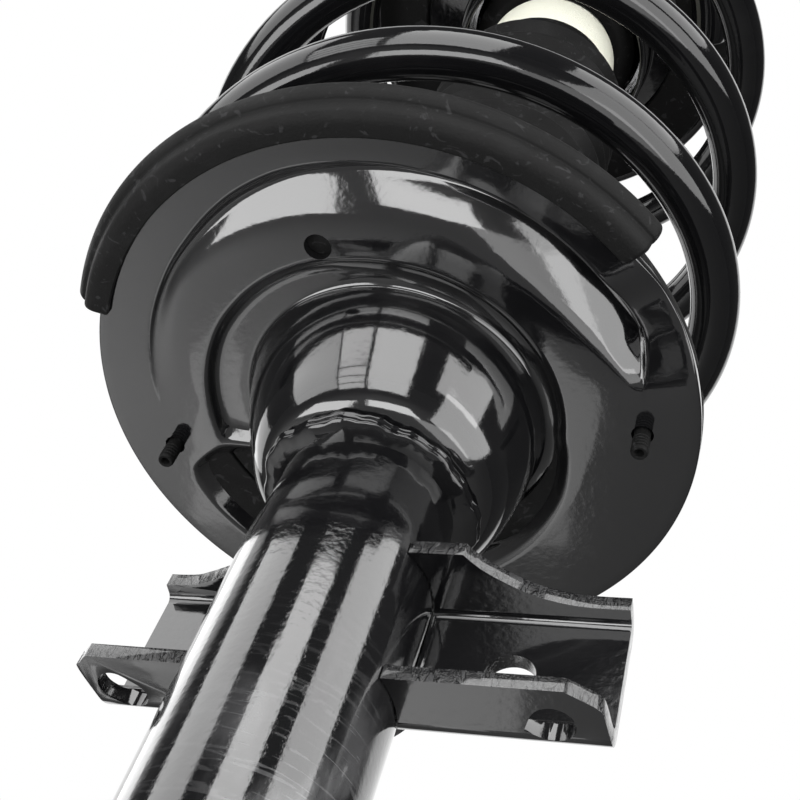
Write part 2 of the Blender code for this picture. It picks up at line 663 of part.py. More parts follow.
def make_lower_seat():
    """The dish: one section of sheet metal carried round, with the ramp and the skewed hub."""
    profile = seat_profile()
    under = [(radius, height) for radius, height, _, _ in profile]
    over = offset_line(under, SEAT_SHEET)
    bore = NECK_R + FIT
    under[0] = (bore, HUB[-1][1])
    over[0] = (bore, HUB[-1][1] + SEAT_SHEET)
    over[1] = (max(over[1][0], bore + 0.0015), over[1][1])
    over[-1] = (SEAT_R, SEAT_SHEET)
    angles = [2.0 * math.pi * index / ROUND_LARGE for index in range(ROUND_LARGE)]
    columns = []
    for angle in angles:
        rise = ramp_height(angle)
        column = []
        for (radius, height), (_, _, shift, ramp) in zip(under, profile):
            column.append((SPRING_X * shift + radius * math.cos(angle),
                           SPRING_Y * shift + radius * math.sin(angle),
                           SEAT_Z + height + rise * ramp))
        for (radius, height), (_, _, shift, ramp) in zip(over[::-1], profile[::-1]):
            column.append((SPRING_X * shift + radius * math.cos(angle),
                           SPRING_Y * shift + radius * math.sin(angle),
                           SEAT_Z + height + rise * ramp))
        columns.append(column)
    seat = loft("lower_spring_seat", columns, "black_paint", True)
    low = SEAT_Z - 0.004
    high = SEAT_TOP_Z + 0.004
    drain = spring_point(DRAIN_R, DRAIN_ANGLE, 0.0)
    combine(seat, post("drain_cutter", drain[0], drain[1], DRAIN_HOLE_R, low, high, 16), "DIFFERENCE")
    for index, angle in enumerate(NUB_ANGLES):
        place = spring_point(NUB_RADIUS, angle, 0.0)
        cutter = post("nub_hole_cutter_%d" % (index + 1), place[0], place[1],
                      NUB_R + 2.0 * FIT, low, high, 16)
        combine(seat, cutter, "DIFFERENCE")


def make_seat_weld():
    """The bead that joins the hub's foot to the tube."""
    bore = NECK_R + FIT
    top = SEAT_Z + HUB[-1][1] - FIT
    middle = top - WELD_HEIGHT * 0.5
    turn_ring("seat_weld",
              [(bore, top - WELD_HEIGHT), (bore + (WELD_R - bore) * 0.6, top - WELD_HEIGHT * 0.92),
               (WELD_R, middle), (WELD_R - 0.0006, top), (bore, top)],
              "black_paint", ROUND_BODY)


def make_lower_insulator():
    """The rubber pad: a bed under the coil's end and a lipped wall that wraps the near side of the rim."""
    bottom = SEAT_TOP_Z + FIT
    top = PAD_TOP_Z
    wall_in = SEAT_R + FIT
    rim = wall_in
    wall_out = wall_in + PAD_WALL
    lip_out = wall_in + PAD_LIP
    band_in = GROOVE_OUT_R + 0.0010
    bed_in = GROOVE_IN_R + 0.0010
    foot = SEAT_Z - PAD_DROP
    crest = SEAT_TOP_Z + PAD_RISE

    def bed_section(inner):
        heights = [bottom + (top - bottom) * share for share in (1.0, 0.84, 0.68, 0.5, 0.32, 0.16, 0.0)]
        return [(inner, bottom), (inner, top)] + [(rim, height) for height in heights]

    def wrap_section(inner, tuck):
        return [(inner, bottom), (inner, top), (wall_in - 0.0015, top),
                (wall_in + 0.0010, crest), (wall_out, crest), (lip_out, SEAT_Z + PAD_LIP_RISE),
                (wall_out, foot), (tuck, foot), (tuck, SEAT_Z - FIT)]

    def close_up(section):
        """The wrap's section goes back up outside the rim to the bed's underside."""
        return section + [(wall_in, SEAT_Z - FIT), (wall_in, bottom)]

    def bed_closed(inner):
        step = (top - bottom) * 0.05
        section = bed_section(inner)
        return section[:-1] + [(rim, bottom + 2.0 * step), (rim, bottom + step), (rim, bottom)]

    full = 2.0 * math.pi - 0.10
    sides = ROUND_LARGE
    marks = [PAD_BED_START + full * index / sides for index in range(sides + 1)]
    wrap_start = WRAP_START % (2.0 * math.pi)
    wrap_end = WRAP_END % (2.0 * math.pi)
    near = 0.008
    marks += [wrap_start - 2.0 * near, wrap_start - near, wrap_start, wrap_end, wrap_end + near,
              wrap_end + 2.0 * near, PAD_BED_END - 0.001, PAD_BED_END + 0.03]
    columns = []
    for angle in sorted(marks):
        bed = angle <= PAD_BED_END
        inner = bed_in if bed else band_in
        if wrap_start <= angle <= wrap_end:
            section = close_up(wrap_section(inner, SEAT_R - PAD_TUCK))
        elif wrap_start - 1.5 * near < angle < wrap_end + 1.5 * near:
            section = close_up(wrap_section(inner, wall_in + 0.0003))
        else:
            section = bed_closed(inner)
        columns.append([spring_point(radius, angle, height) for radius, height in section])
    pad = loft("lower_insulator", columns, "rubber", False)
    for index, angle in enumerate(NUB_ANGLES):
        place = spring_point(NUB_RADIUS, angle, 0.0)
        nub = post("nub_guide_%d" % (index + 1), place[0], place[1], NUB_R,
                   SEAT_Z - NUB_REACH, bottom + PAD_SHEET * 0.5, 12)
        combine(pad, nub, "UNION")


# ---------------------------------------------------------------- spring

def coil_line():
    """The wire's centre line: it rests on the lower seat, climbs ever faster and closes on top."""
    open_z = SEAT_Z + COIL_BASE + COIL_OPEN_END * (COIL_CLIMB + COIL_OPENING * COIL_OPEN_END)
    open_climb = COIL_CLIMB + 2.0 * COIL_OPENING * COIL_OPEN_END
    closing = 2.0 * (UPPER_WIRE_Z - open_z) / open_climb
    end = COIL_OPEN_END + closing + COIL_REST
    count = int(round((end - COIL_START) * COIL_POINTS))
    turns = np.linspace(COIL_START, end, count + 1)
    free = SEAT_Z + COIL_BASE + turns * (COIL_CLIMB + COIL_OPENING * turns) - LOWER_WIRE_Z
    rising = LOWER_WIRE_Z + COIL_SOFTNESS * np.logaddexp(0.0, free / COIL_SOFTNESS)
    late = np.clip(turns - COIL_OPEN_END, 0.0, closing)
    falling_off = open_z + open_climb * (late - late * late / (2.0 * closing))
    height = np.where(turns < COIL_OPEN_END, rising, falling_off)
    ends = np.exp((COIL_START - turns) / COIL_DRAW_TURNS) + np.exp((turns - end) / COIL_DRAW_TURNS)
    radius = COIL_R - COIL_DRAW * ends
    angle = COIL_ZERO + 2.0 * math.pi * turns
    return np.stack([SPRING_X + radius * np.cos(angle), SPRING_Y + radius * np.sin(angle), height],
                    axis=1)


def least_coil_gap(line):
    """The least clear distance between turns of the wire, measured on its points."""
    apart = COIL_POINTS // 3
    least = math.inf
    for index in range(len(line) - apart):
        others = line[index + apart:]
        least = min(least, float(np.min(np.linalg.norm(others - line[index], axis=1))))
    return least - 2.0 * WIRE_R


def make_spring():
    """One unbroken round wire along the coil line."""
    line = coil_line()
    curve = bpy.data.curves.new("coil_spring", "CURVE")
    curve.dimensions = "3D"
    curve.bevel_depth = WIRE_R
    curve.bevel_resolution = 2
    curve.use_fill_caps = True
    spline = curve.splines.new("POLY")
    spline.points.add(len(line) - 1)
    for target, point in zip(spline.points, line):
        target.co = (*point, 1.0)
    item = bpy.data.objects.new("coil_spring", curve)
    bpy.context.collection.objects.link(item)
    use_finish(item, "black_paint")
    print("least gap of the coil to itself: %.1f mm" % (least_coil_gap(line) * 1000.0))


# ---------------------------------------------------------------- boot and bump stop

def make_boot():
    """The ribbed dust boot, from its foot on the tube's neck to its collar on the bump stop."""
    rib_start = BOOT_FOOT_Z + BOOT_FOOT
    rib_end = BOOT_COLLAR_Z - 0.004
    pitch = (rib_end - rib_start) / BOOT_RIBS
    outer = [(NECK_R + FIT + BOOT_WALL, BOOT_FOOT_Z), (NECK_R + FIT + BOOT_WALL, rib_start)]
    for index in range(BOOT_RIBS):
        outer.append((BOOT_RIB_R, rib_start + pitch * (index + 0.5)))
        outer.append((BOOT_VALLEY_R, rib_start + pitch * (index + 1.0)))
    outer += [(BOOT_COLLAR_R, BOOT_COLLAR_Z), (BOOT_COLLAR_R, BOOT_TOP_Z)]
    grip = BUMP_GROOVE_R + FIT
    inner = [(grip, BOOT_TOP_Z), (grip, BOOT_COLLAR_Z), (BOOT_COLLAR_R - BOOT_WALL, BOOT_COLLAR_Z)]
    for index in reversed(range(BOOT_RIBS)):
        inner.append((BOOT_VALLEY_R - BOOT_WALL, rib_start + pitch * (index + 1.0)))
        inner.append((BOOT_RIB_R - BOOT_WALL, rib_start + pitch * (index + 0.5)))
    inner += [(NECK_R + FIT, rib_start), (NECK_R + FIT, BOOT_FOOT_Z)]
    turn_ring("dust_boot", outer + inner, "rubber", ROUND_BOOT)


def make_bump_stop(parent):
    """The cellular foam stop on the rod, with the groove that holds the boot's collar."""
    bore = ROD_R + FIT
    groove_z = BUMP_HEAD_Z - BUMP_GROOVE
    length = groove_z - BUMP_TIP_Z
    below = BUMP_R - 0.0018
    section = [(BUMP_R - 0.0015, BUMP_TOP_Z), (BUMP_R, BUMP_TOP_Z - 0.0030), (BUMP_R, BUMP_HEAD_Z),
               (BUMP_GROOVE_R, BUMP_HEAD_Z), (BUMP_GROOVE_R, groove_z), (below, groove_z),
               (below, groove_z - length * 0.30), (below - 0.004, groove_z - length * 0.42),
               (below - 0.001, groove_z - length * 0.56), (below - 0.005, groove_z - length * 0.72),
               (below - 0.004, groove_z - length * 0.84), (BUMP_TIP_R, BUMP_TIP_Z),
               (bore, BUMP_TIP_Z), (bore, BUMP_TOP_Z)]
    turn_ring("bump_stop", section, "foam", ROUND_BOOT, parent)


# ---------------------------------------------------------------- upper seat and bearing

def make_upper_seat(parent):
    """The upper dish: a hub on the strut axis and a rim round the spring's centre."""
    hub = UPPER_HUB_R
    hub_in = hub - UPPER_SHEET
    low = UPPER_SEAT_Z - UPPER_HUB_DEPTH
    rim = UPPER_SEAT_R
    rim_in = rim - UPPER_SHEET
    top = UPPER_SEAT_TOP_Z
    section = [(hub_in, low, 0.0), (hub, low, 0.0), (hub, UPPER_SEAT_Z - 0.002, 0.0),
               (hub + 0.002, UPPER_SEAT_Z, 0.0), (RACE_OUT_R + 0.003, UPPER_SEAT_Z, 0.4),
               (rim - 0.003, UPPER_SEAT_Z, 1.0), (rim, UPPER_SEAT_Z + 0.003, 1.0),
               (rim, top + UPPER_LIP, 1.0), (rim_in, top + UPPER_LIP, 1.0), (rim_in, top + 0.001, 1.0),
               (rim_in - 0.001, top, 1.0), (RACE_OUT_R + 0.003, top, 0.4), (hub_in + 0.003, top, 0.0),
               (hub_in, top - 0.003, 0.0)]
    columns = []
    for index in range(ROUND_BODY):
        angle = 2.0 * math.pi * index / ROUND_BODY
        columns.append([(SPRING_X * shift + radius * math.cos(angle),
                         SPRING_Y * shift + radius * math.sin(angle), height)
                        for radius, height, shift in section])
    loft("upper_spring_seat", columns, "black_paint", True, parent)


def make_upper_insulator(parent):
    """The rubber ring between the top coil and the upper seat."""
    top = UPPER_SEAT_Z - FIT
    section = [(UPPER_PAD_IN_R, UPPER_PAD_Z), (UPPER_PAD_OUT_R - 0.001, UPPER_PAD_Z),
               (UPPER_PAD_OUT_R - 0.001, top), (UPPER_PAD_IN_R, top)]
    turn_ring("upper_insulator", section, "rubber", ROUND_BODY, parent, (SPRING_X, SPRING_Y))


def race_section(bottom, groove_up):
    """A bearing race with a shallow groove on the side that faces the balls."""
    top = bottom + RACE_SHEET
    half = BALL_R * 0.95
    deep = BALL_SINK
    if groove_up:
        return [(RACE_OUT_R, bottom), (RACE_OUT_R, top), (BALL_CIRCLE_R + half, top),
                (BALL_CIRCLE_R + half * 0.55, top - deep), (BALL_CIRCLE_R - half * 0.55, top - deep),
                (BALL_CIRCLE_R - half, top), (RACE_IN_R, top), (RACE_IN_R, bottom)]
    return [(RACE_OUT_R, top), (RACE_OUT_R, bottom), (BALL_CIRCLE_R + half, bottom),
            (BALL_CIRCLE_R + half * 0.55, bottom + deep), (BALL_CIRCLE_R - half * 0.55, bottom + deep),
            (BALL_CIRCLE_R - half, bottom), (RACE_IN_R, bottom), (RACE_IN_R, top)]


def make_bearing(seat_axis, cage_axis, mount_axis):
    """The steering bearing: two races, a cage and its balls."""
    turn_ring("lower_race", race_section(LOWER_RACE_Z, True), "bare_steel", ROUND_BODY, seat_axis)
    turn_ring("upper_race", race_section(UPPER_RACE_Z, False), "bare_steel", ROUND_BODY, mount_axis)
    cage_z = BALL_Z - CAGE_SHEET / 2.0
    cage_top = BALL_Z + CAGE_SHEET / 2.0
    cage_in = RACE_IN_R + 0.001
    cage_out = RACE_OUT_R - 0.001
    cage = turn_ring("bearing_cage", [(cage_out, cage_z), (cage_out, cage_top), (cage_in, cage_top),
                                      (cage_in, cage_z)], "nylon", ROUND_BODY, cage_axis)
    for index in range(BALL_COUNT):
        angle = BALL_FIRST + 2.0 * math.pi * index / BALL_COUNT
        x = BALL_CIRCLE_R * math.cos(angle)
        y = BALL_CIRCLE_R * math.sin(angle)
        pocket = post("pocket_cutter_%d" % (index + 1), x, y, BALL_R + 2.0 * FIT, cage_z - 0.001,
                      cage_top + 0.001, 10)
        combine(cage, pocket, "DIFFERENCE")
        work = bmesh.new()
        bmesh.ops.create_uvsphere(work, u_segments=10, v_segments=6, radius=BALL_R)
        bmesh.ops.translate(work, verts=work.verts, vec=(x, y, BALL_Z))
        mesh = bpy.data.meshes.new("ball_%02d" % (index + 1))
        work.to_mesh(mesh)
        work.free()
        mesh.shade_smooth()
        ball = bpy.data.objects.new(mesh.name, mesh)
        bpy.context.collection.objects.link(ball)
        ball.parent = cage_axis
        use_finish(ball, "chromed")


# ---------------------------------------------------------------- top mount

def stud_angles():
    """Where the studs stand round the mount."""
    return [STUD_FIRST + 2.0 * math.pi * index / STUD_COUNT for index in range(STUD_COUNT)]


def housing_reach(angle):
    """The flange's edge radius, which swells into an ear round each stud."""
    reach = HOUSING_R
    for stud in stud_angles():
        away = (angle - stud + math.pi) % (2.0 * math.pi) - math.pi
        reach += EAR_REACH * math.exp(-(away / EAR_SPREAD) ** 2)
    return reach


def make_housing(parent):
    """The pressed housing: an eared flange and the crown that holds the rubber."""
    crown_in = CROWN_R - CROWN_WALL
    lip_z = CROWN_TOP_Z - CROWN_WALL
    columns = []
    sides = ROUND_LARGE
    for index in range(sides):
        angle = 2.0 * math.pi * index / sides
        reach = housing_reach(angle)
        section = [(crown_in, HOUSING_Z), (reach, HOUSING_Z), (reach, HOUSING_TOP_Z),
                   (CROWN_R + 0.002, HOUSING_TOP_Z), (CROWN_R, HOUSING_TOP_Z + 0.002),
                   (CROWN_R, CROWN_TOP_Z - 0.003), (CROWN_R - 0.003, CROWN_TOP_Z),
                   (CROWN_MOUTH_R, CROWN_TOP_Z), (CROWN_MOUTH_R, lip_z), (crown_in, lip_z)]
        columns.append([(radius * math.cos(angle), radius * math.sin(angle), height)
                        for radius, height in section])
    housing = loft("mount_housing", columns, "black_paint", True, parent)
    for index, angle in enumerate(stud_angles()):
        x = STUD_CIRCLE_R * math.cos(angle)
        y = STUD_CIRCLE_R * math.sin(angle)
        cutter = post("stud_hole_cutter_%d" % (index + 1), x, y, STUD_R + FIT, HOUSING_Z - 0.001,
                      HOUSING_TOP_Z + 0.001, 16)
        combine(housing, cutter, "DIFFERENCE")
    rubber_out = crown_in - FIT
    rubber_top = lip_z - FIT
    waist = (SLEEVE_R + rubber_out) / 2.0
    low = SLEEVE_Z + SLEEVE_FLANGE + FIT
    boss_r = UPPER_HUB_R - UPPER_SHEET - 0.003
    boss_top = UPPER_SEAT_Z + 0.001
    turn_ring("mount_rubber",
              [(boss_r - 0.006, low), (boss_r, low + 0.004), (boss_r - 0.0035, boss_top),
               (RACE_IN_R - 0.002, HOUSING_Z - 0.001), (rubber_out, HOUSING_Z + 0.003),
               (rubber_out, rubber_top), (CROWN_MOUTH_R - 0.001, rubber_top), (waist, rubber_top + 0.002),
               (SLEEVE_R + FIT, rubber_top + 0.001), (SLEEVE_R + FIT, low)],
              "rubber", ROUND_BODY, parent)
    bore = ROD_R + FIT
    turn_ring("mount_sleeve",
              [(SLEEVE_FLANGE_R, SLEEVE_Z), (SLEEVE_FLANGE_R, SLEEVE_Z + SLEEVE_FLANGE),
               (SLEEVE_R, SLEEVE_Z + SLEEVE_FLANGE), (SLEEVE_R, SLEEVE_TOP_Z),
               (bore, SLEEVE_TOP_Z), (bore, SLEEVE_Z)],
              "zinc", ROUND_SMALL, parent)


def make_studs(parent):
    """Three studs pressed up through the flange, each with its nut."""
    for index, angle in enumerate(stud_angles()):
        x = STUD_CIRCLE_R * math.cos(angle)
        y = STUD_CIRCLE_R * math.sin(angle)
        head_top = HOUSING_Z - FIT
        tip = HOUSING_TOP_Z + STUD_LENGTH
        turn_solid("stud_%d" % (index + 1),
                   [(STUD_HEAD_R, head_top - STUD_HEAD), (STUD_HEAD_R, head_top),
                    (STUD_R, head_top), (STUD_R, tip - 0.001), (STUD_R - 0.001, tip)],
                   "zinc", 16, parent, (x, y))
        nut_z = HOUSING_TOP_Z + FIT
        bore = STUD_R + FIT
        ring_prism("stud_nut_%d" % (index + 1), hexagon(NUT_FLAT, x, y), bore, nut_z,
                   nut_z + NUT_HEIGHT, "zinc", parent, (x, y))


def make_rod_fastening(parent):
    """The washer and nut that hold the rod to the mount's sleeve."""
    washer_z = SLEEVE_TOP_Z + FIT
    turn_ring("rod_washer",
              [(ROD_WASHER_R, washer_z + FIT), (ROD_WASHER_R, washer_z + ROD_WASHER),
               (THREAD_R + FIT, washer_z + ROD_WASHER), (THREAD_R + FIT, washer_z + FIT)],
              "zinc", ROUND_SMALL, parent)
    nut_z = washer_z + ROD_WASHER + FIT
    ring_prism("rod_nut", hexagon(ROD_NUT_FLAT), THREAD_R + FIT, nut_z, nut_z + ROD_NUT_HEIGHT,
               "zinc", parent)


# ---------------------------------------------------------------- the whole strut

def axis_empty(name, height, parent=None):
    """An empty on the strut axis, which a moving group hangs from."""
    item = bpy.data.objects.new(name, None)
    bpy.context.collection.objects.link(item)
    item.location = (0.0, 0.0, height)
    item.parent = parent
    return item


def hang_from(axis, height):
    """Bring the children's own coordinates back to the world's, so that they stay in place."""
    for child in axis.children:
        if child.type != "EMPTY":
            child.location = (0.0, 0.0, -height)


def build_strut():
    """Make every piece and hang the moving ones from their axes."""
    clear_scene()
    set_up_finishes()
    seat_axis = axis_empty("travel_axis", UPPER_SEAT_Z)
    cage_axis = axis_empty("cage_axis", BALL_Z - UPPER_SEAT_Z, seat_axis)
    mount_axis = axis_empty("steering_axis", HOUSING_Z - UPPER_SEAT_Z, seat_axis)

    make_strut_tube()
    make_foot()
    make_damper()
    make_bracket()
    make_lower_seat()
    make_seat_weld()
    make_lower_insulator()
    make_spring()
    make_boot()
    make_upper_seat(seat_axis)
    make_upper_insulator(seat_axis)
    make_bearing(seat_axis, cage_axis, mount_axis)
    make_housing(mount_axis)
    make_studs(mount_axis)
    make_rod_fastening(mount_axis)
    make_rod(mount_axis)
    make_bump_stop(mount_axis)
    hang_from(seat_axis, UPPER_SEAT_Z)
    hang_from(cage_axis, BALL_Z)
    hang_from(mount_axis, HOUSING_Z)


build_strut()
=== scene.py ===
import math

import bmesh
import bpy
import numpy as np
from mathutils import Matrix, Vector


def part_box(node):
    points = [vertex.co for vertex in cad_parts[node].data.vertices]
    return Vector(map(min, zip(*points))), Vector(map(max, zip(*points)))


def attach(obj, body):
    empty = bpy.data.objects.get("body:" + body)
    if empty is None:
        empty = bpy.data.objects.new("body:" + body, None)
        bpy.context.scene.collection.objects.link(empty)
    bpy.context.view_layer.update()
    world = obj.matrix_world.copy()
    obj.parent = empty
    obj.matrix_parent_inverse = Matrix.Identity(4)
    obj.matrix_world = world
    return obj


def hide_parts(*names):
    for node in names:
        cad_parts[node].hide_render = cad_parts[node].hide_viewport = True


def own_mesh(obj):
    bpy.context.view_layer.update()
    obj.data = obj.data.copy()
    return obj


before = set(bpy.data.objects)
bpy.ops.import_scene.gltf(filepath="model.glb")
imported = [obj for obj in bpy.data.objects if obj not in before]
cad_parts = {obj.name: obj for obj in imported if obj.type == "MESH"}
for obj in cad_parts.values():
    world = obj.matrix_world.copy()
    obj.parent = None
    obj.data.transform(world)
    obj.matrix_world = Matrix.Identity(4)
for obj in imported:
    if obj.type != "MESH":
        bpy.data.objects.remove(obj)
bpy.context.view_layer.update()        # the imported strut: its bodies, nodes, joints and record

# A front suspension strut at full rebound, in metres, with +Z up along the strut axis. The spring and its
# seats stand a little off that axis. Angles round the seat are counted from +X, in degrees where named so.

TURN = 2.0 * math.pi
QUARTER = math.pi / 2.0
FIT = 0.0003    # the gap between pieces that touch
SPRING = np.array([-0.0017, -0.0079])    # the spring's centre
FLOOR_Z = -0.36

TUBE_R = 0.025
TUBE_WALL = 0.0024
NECK_R = 0.0235
SHOULDER_Z = 0.127
SHOULDER_LENGTH = 0.018
TUBE_TOP_Z = 0.277
BRACKET_LOW_Z = 0.085
BRACKET_HIGH_Z = 0.125
PLATE = 0.004    # the bracket's sheet
BEND_R = 0.006    # on the outside of its bends
WEB_Y = 0.01    # the back of its web
SEAT_Z = 0.185
SEAT_R = 0.085
SEAT_SHEET = 0.003
HUB = ((0.041, 0.0), (0.04, -0.008), (0.0372, -0.017), (0.0345, -0.024), (0.0308, -0.0285),
       (0.0268, -0.03))
RAMP_HEIGHT = 0.009
RING_STEP = 0.0026
PAD_TOP_Z = 0.1913
LOWER_WIRE_Z = 0.19885
WIRE_R = 0.00725
UPPER_SEAT_Z = 0.4645
UPPER_SHEET = 0.0025
UPPER_WIRE_Z = 0.45365
HUB_R = 0.04    # of the upper seat
HOUSING_Z = 0.47935
HOUSING_TOP_Z = 0.48435
CROWN_TOP_Z = 0.49935
SLEEVE_Z = 0.45
SLEEVE_TOP_Z = 0.50635
BUMP_TOP_Z = 0.4497
BUMP_TIP_Z = 0.3831
BOOT_FOOT_Z = 0.251
BOOT_TOP_Z = 0.4214
RACE_SHEET = 0.004
BALL_R = 0.0035
STUD_CIRCLE_R = 0.0555
STUD_ANGLES = np.radians([30.0, 150.0, 270.0])
STUD_PLACES = STUD_CIRCLE_R * np.stack([np.cos(STUD_ANGLES), np.sin(STUD_ANGLES)], axis=-1)


# ---------- node trees

class Wire:
    """A value inside a node tree. Arithmetic on it adds the Math node that works it out."""

    def __init__(self, nodes, socket):
        self.nodes = nodes
        self.socket = socket

    def math(self, operation, first, second):
        return self.nodes.add("ShaderNodeMath", {0: first, 1: second}, operation=operation)

    def __add__(self, other):
        return self.math("ADD", self, other)

    __radd__ = __add__

    def __mul__(self, other):
        return self.math("MULTIPLY", self, other)

    __rmul__ = __mul__

    def __sub__(self, other):
        return self.math("SUBTRACT", self, other)

    def __rsub__(self, other):
        return self.math("SUBTRACT", other, self)


class Nodes:
    """A node tree with its shader, and a method that adds any other node."""

    def __init__(self, tree, shader):
        self.tree = tree
        self.shader = tree.nodes[shader]

    def add(self, kind, inputs=None, out=0, **settings):
        """A node of any kind: its settings first, then the values or links of its sockets."""
        node = self.tree.nodes.new(kind)
        for name, value in settings.items():
            setattr(node, name, value)
        for key, value in (inputs or {}).items():
            if isinstance(value, Wire):
                self.tree.links.new(value.socket, node.inputs[key])
            else:
                node.inputs[key].default_value = value
        return Wire(self, node.outputs[out])

    def feed(self, socket, value):
        """Link a value or a colour to a socket of the shader."""
        self.tree.links.new(value.socket, self.shader.inputs[socket])


class Finish(Nodes):
    """A procedural material: one Principled shader, and what its patterns are made of."""

    def __init__(self, name, color, roughness, metallic=0.0, **fixed):
        self.material = bpy.data.materials.new(name)
        self.material.use_nodes = True
        super().__init__(self.material.node_tree, "Principled BSDF")
        fixed.update(Base_Color=(*color, 1.0), Roughness=roughness, Metallic=metallic)
        for socket, value in fixed.items():
            self.shader.inputs[socket.replace("_", " ")].default_value = value
        self.place = self.add("ShaderNodeTexCoord", out="Object")

    def noise(self, scale, detail=2.0, stretch=None, distortion=0.0):
        """Noise from 0 to 1, in grains of about 1/scale metres; stretch scales it along each axis."""
        place = self.place
        if stretch:
            place = self.add("ShaderNodeMapping", {"Vector": place, "Scale": stretch})
        return self.add("ShaderNodeTexNoise", {"Vector": place, "Scale": scale, "Detail": detail,
                                               "Distortion": distortion})

    def rise(self, value, low, high):
        """A mask that goes smoothly from 0 at one value to 1 at another."""
        return self.add("ShaderNodeMapRange", {"Value": value, "From Min": low, "From Max": high},
                        interpolation_type="SMOOTHSTEP")

    def along(self, axis):
        """One of the coordinates, in metres."""
        return self.add("ShaderNodeSeparateXYZ", {0: self.place}, out=axis)

    def blend(self, mask, first, second):
        """One colour where the mask is 0, and another where it is 1."""
        first = first if isinstance(first, Wire) else (*first, 1.0)
        second = second if isinstance(second, Wire) else (*second, 1.0)
        return self.add("ShaderNodeMix", {0: mask, 6: first, 7: second}, out=2, data_type="RGBA")

    def relief(self, height, distance):
        """Bump the surface by a height from 0 to 1, over a distance in metres."""
        self.feed("Normal", self.add("ShaderNodeBump", {"Height": height, "Distance": distance}))


# ---------- camera, light and floor

def add_object(name, data, place=(0.0, 0.0, 0.0), axes=Matrix.Identity(3)):
    """An object at a place in the scene, turned so that its own X, Y and Z lie along the axes."""
    item = bpy.data.objects.new(name, data)
    item.matrix_world = Matrix.Translation(place) @ Matrix(axes).transposed().to_4x4()
    bpy.context.collection.objects.link(item)
    return item


def set_up_camera():
    """The photograph's camera: low in front, looking steeply up under the spring seat."""
    data = bpy.data.cameras.new("photo_camera")
    data.lens = 63.0
    data.sensor_width = 36.0
    right, up, back = (0.9562, 0.16, 0.2452), (-0.0138, -0.8119, 0.5837), (0.2925, -0.5615, -0.7741)
    bpy.context.scene.camera = add_object("photo_camera", data, (0.1145, -0.226, -0.1115), (right, up, back))


def soft_panel(name, centre, target, along, across, tall, radiance):
    """A soft rectangle of light at a place that faces a target; across is its size along a direction."""
    lamp = bpy.data.lights.new(name, "AREA")
    lamp.shape = "RECTANGLE"
    lamp.size = across
    lamp.size_y = tall
    lamp.energy = radiance * math.pi * across * tall
    back = (Vector(centre) - Vector(target)).normalized()
    side = Vector(along)
    side = (side - side.dot(back) * back).normalized()
    add_object(name, lamp, centre, (side, back.cross(side), back)).visible_camera = False


def upright_panel(name, azimuth, spread, low, high, distance, radiance):
    """A soft upright panel that faces the strut axis. Seen from the seat it spans the given degrees."""
    outward = Vector((math.cos(math.radians(azimuth)), math.sin(math.radians(azimuth)), 0.0))
    bottom = SEAT_Z + distance * math.tan(math.radians(low))
    top = SEAT_Z + distance * math.tan(math.radians(high))
    middle = Vector((0.0, 0.0, (bottom + top) / 2.0))
    across = 2.0 * distance * math.tan(math.radians(spread) / 2.0)
    soft_panel(name, outward * distance + middle, middle, (-outward.y, outward.x, 0.0), across, top - bottom,
               radiance)


def set_up_light():
    """Tall soft panels round the front, a barred window between them, low panels for the seat's channel
    and the bracket, and a pool of light on the floor."""
    upright_panel("left_panel", 166.0, 26.0, -8.0, 47.0, 1.1, 1.6)
    upright_panel("front_left_panel", -137.0, 34.0, -20.0, 47.0, 0.9, 2.7)
    upright_panel("front_panel", -80.6, 27.2, -24.0, 40.5, 0.9, 4.8)
    upright_panel("front_strip", -95.6, 2.8, -24.0, 35.0, 0.9, 4.8)
    upright_panel("right_panel", -30.0, 38.0, 0.0, 47.0, 1.0, 3.6)
    for bar in range(4):
        low = -23.0 + 8.6 * bar
        upright_panel("window_%d" % (bar + 1), -109.0, 19.0, low, low + 7.4, 0.8, 4.0)
    upright_panel("channel_right", -17.0, 48.0, -45.0, 3.0, 0.45, 3.6)
    level = (1.0, 0.0, 0.0)
    for name, x, y, z, across, tall, radiance in (
            ("channel_left", -0.324, -0.232, -0.25, 0.352, 0.27, 6.0),
            ("channel_middle", 0.0785, -0.335, -0.25, 0.293, 0.2, 6.5),
            ("channel_low", 0.4, -0.08, -0.3, 0.44, 0.36, 1.9)):
        soft_panel(name, (x, y, z), (x, y, 0.0), level, across, tall, radiance)
    soft_panel("bracket_panel", (-0.19, 0.37, -0.277), (0.0, 0.0, 0.085), level, 0.27, 0.12, 0.85)
    soft_panel("floor_pool", (-0.54, 0.34, -0.06), (-0.54, 0.34, FLOOR_Z), level, 0.4, 0.4, 15.5)


def set_up_sky():
    """White where the camera looks straight at it and on a wall high behind, and dim elsewhere."""
    world = bpy.data.worlds.new("pale_studio")
    bpy.context.scene.world = world
    world.use_nodes = True
    sky = Nodes(world.node_tree, "Background")
    direction = sky.add("ShaderNodeTexCoord", out="Generated")
    toward_wall = sky.add("ShaderNodeVectorMath", {0: direction, 1: (-0.292, 0.573, 0.766)}, "Value",
                          operation="DOT_PRODUCT")
    wall = sky.add("ShaderNodeMapRange", {"Value": toward_wall, "From Min": 0.6, "From Max": 0.7,
                                          "To Min": 0.06, "To Max": 1.0}, interpolation_type="SMOOTHSTEP")
    seen = sky.add("ShaderNodeLightPath", out="Is Camera Ray")
    sky.feed("Strength", sky.add("ShaderNodeMath", {0: seen, 1: wall}, operation="MAXIMUM"))
    sky.shader.inputs["Color"].default_value = (1.0, 1.0, 1.0, 1.0)


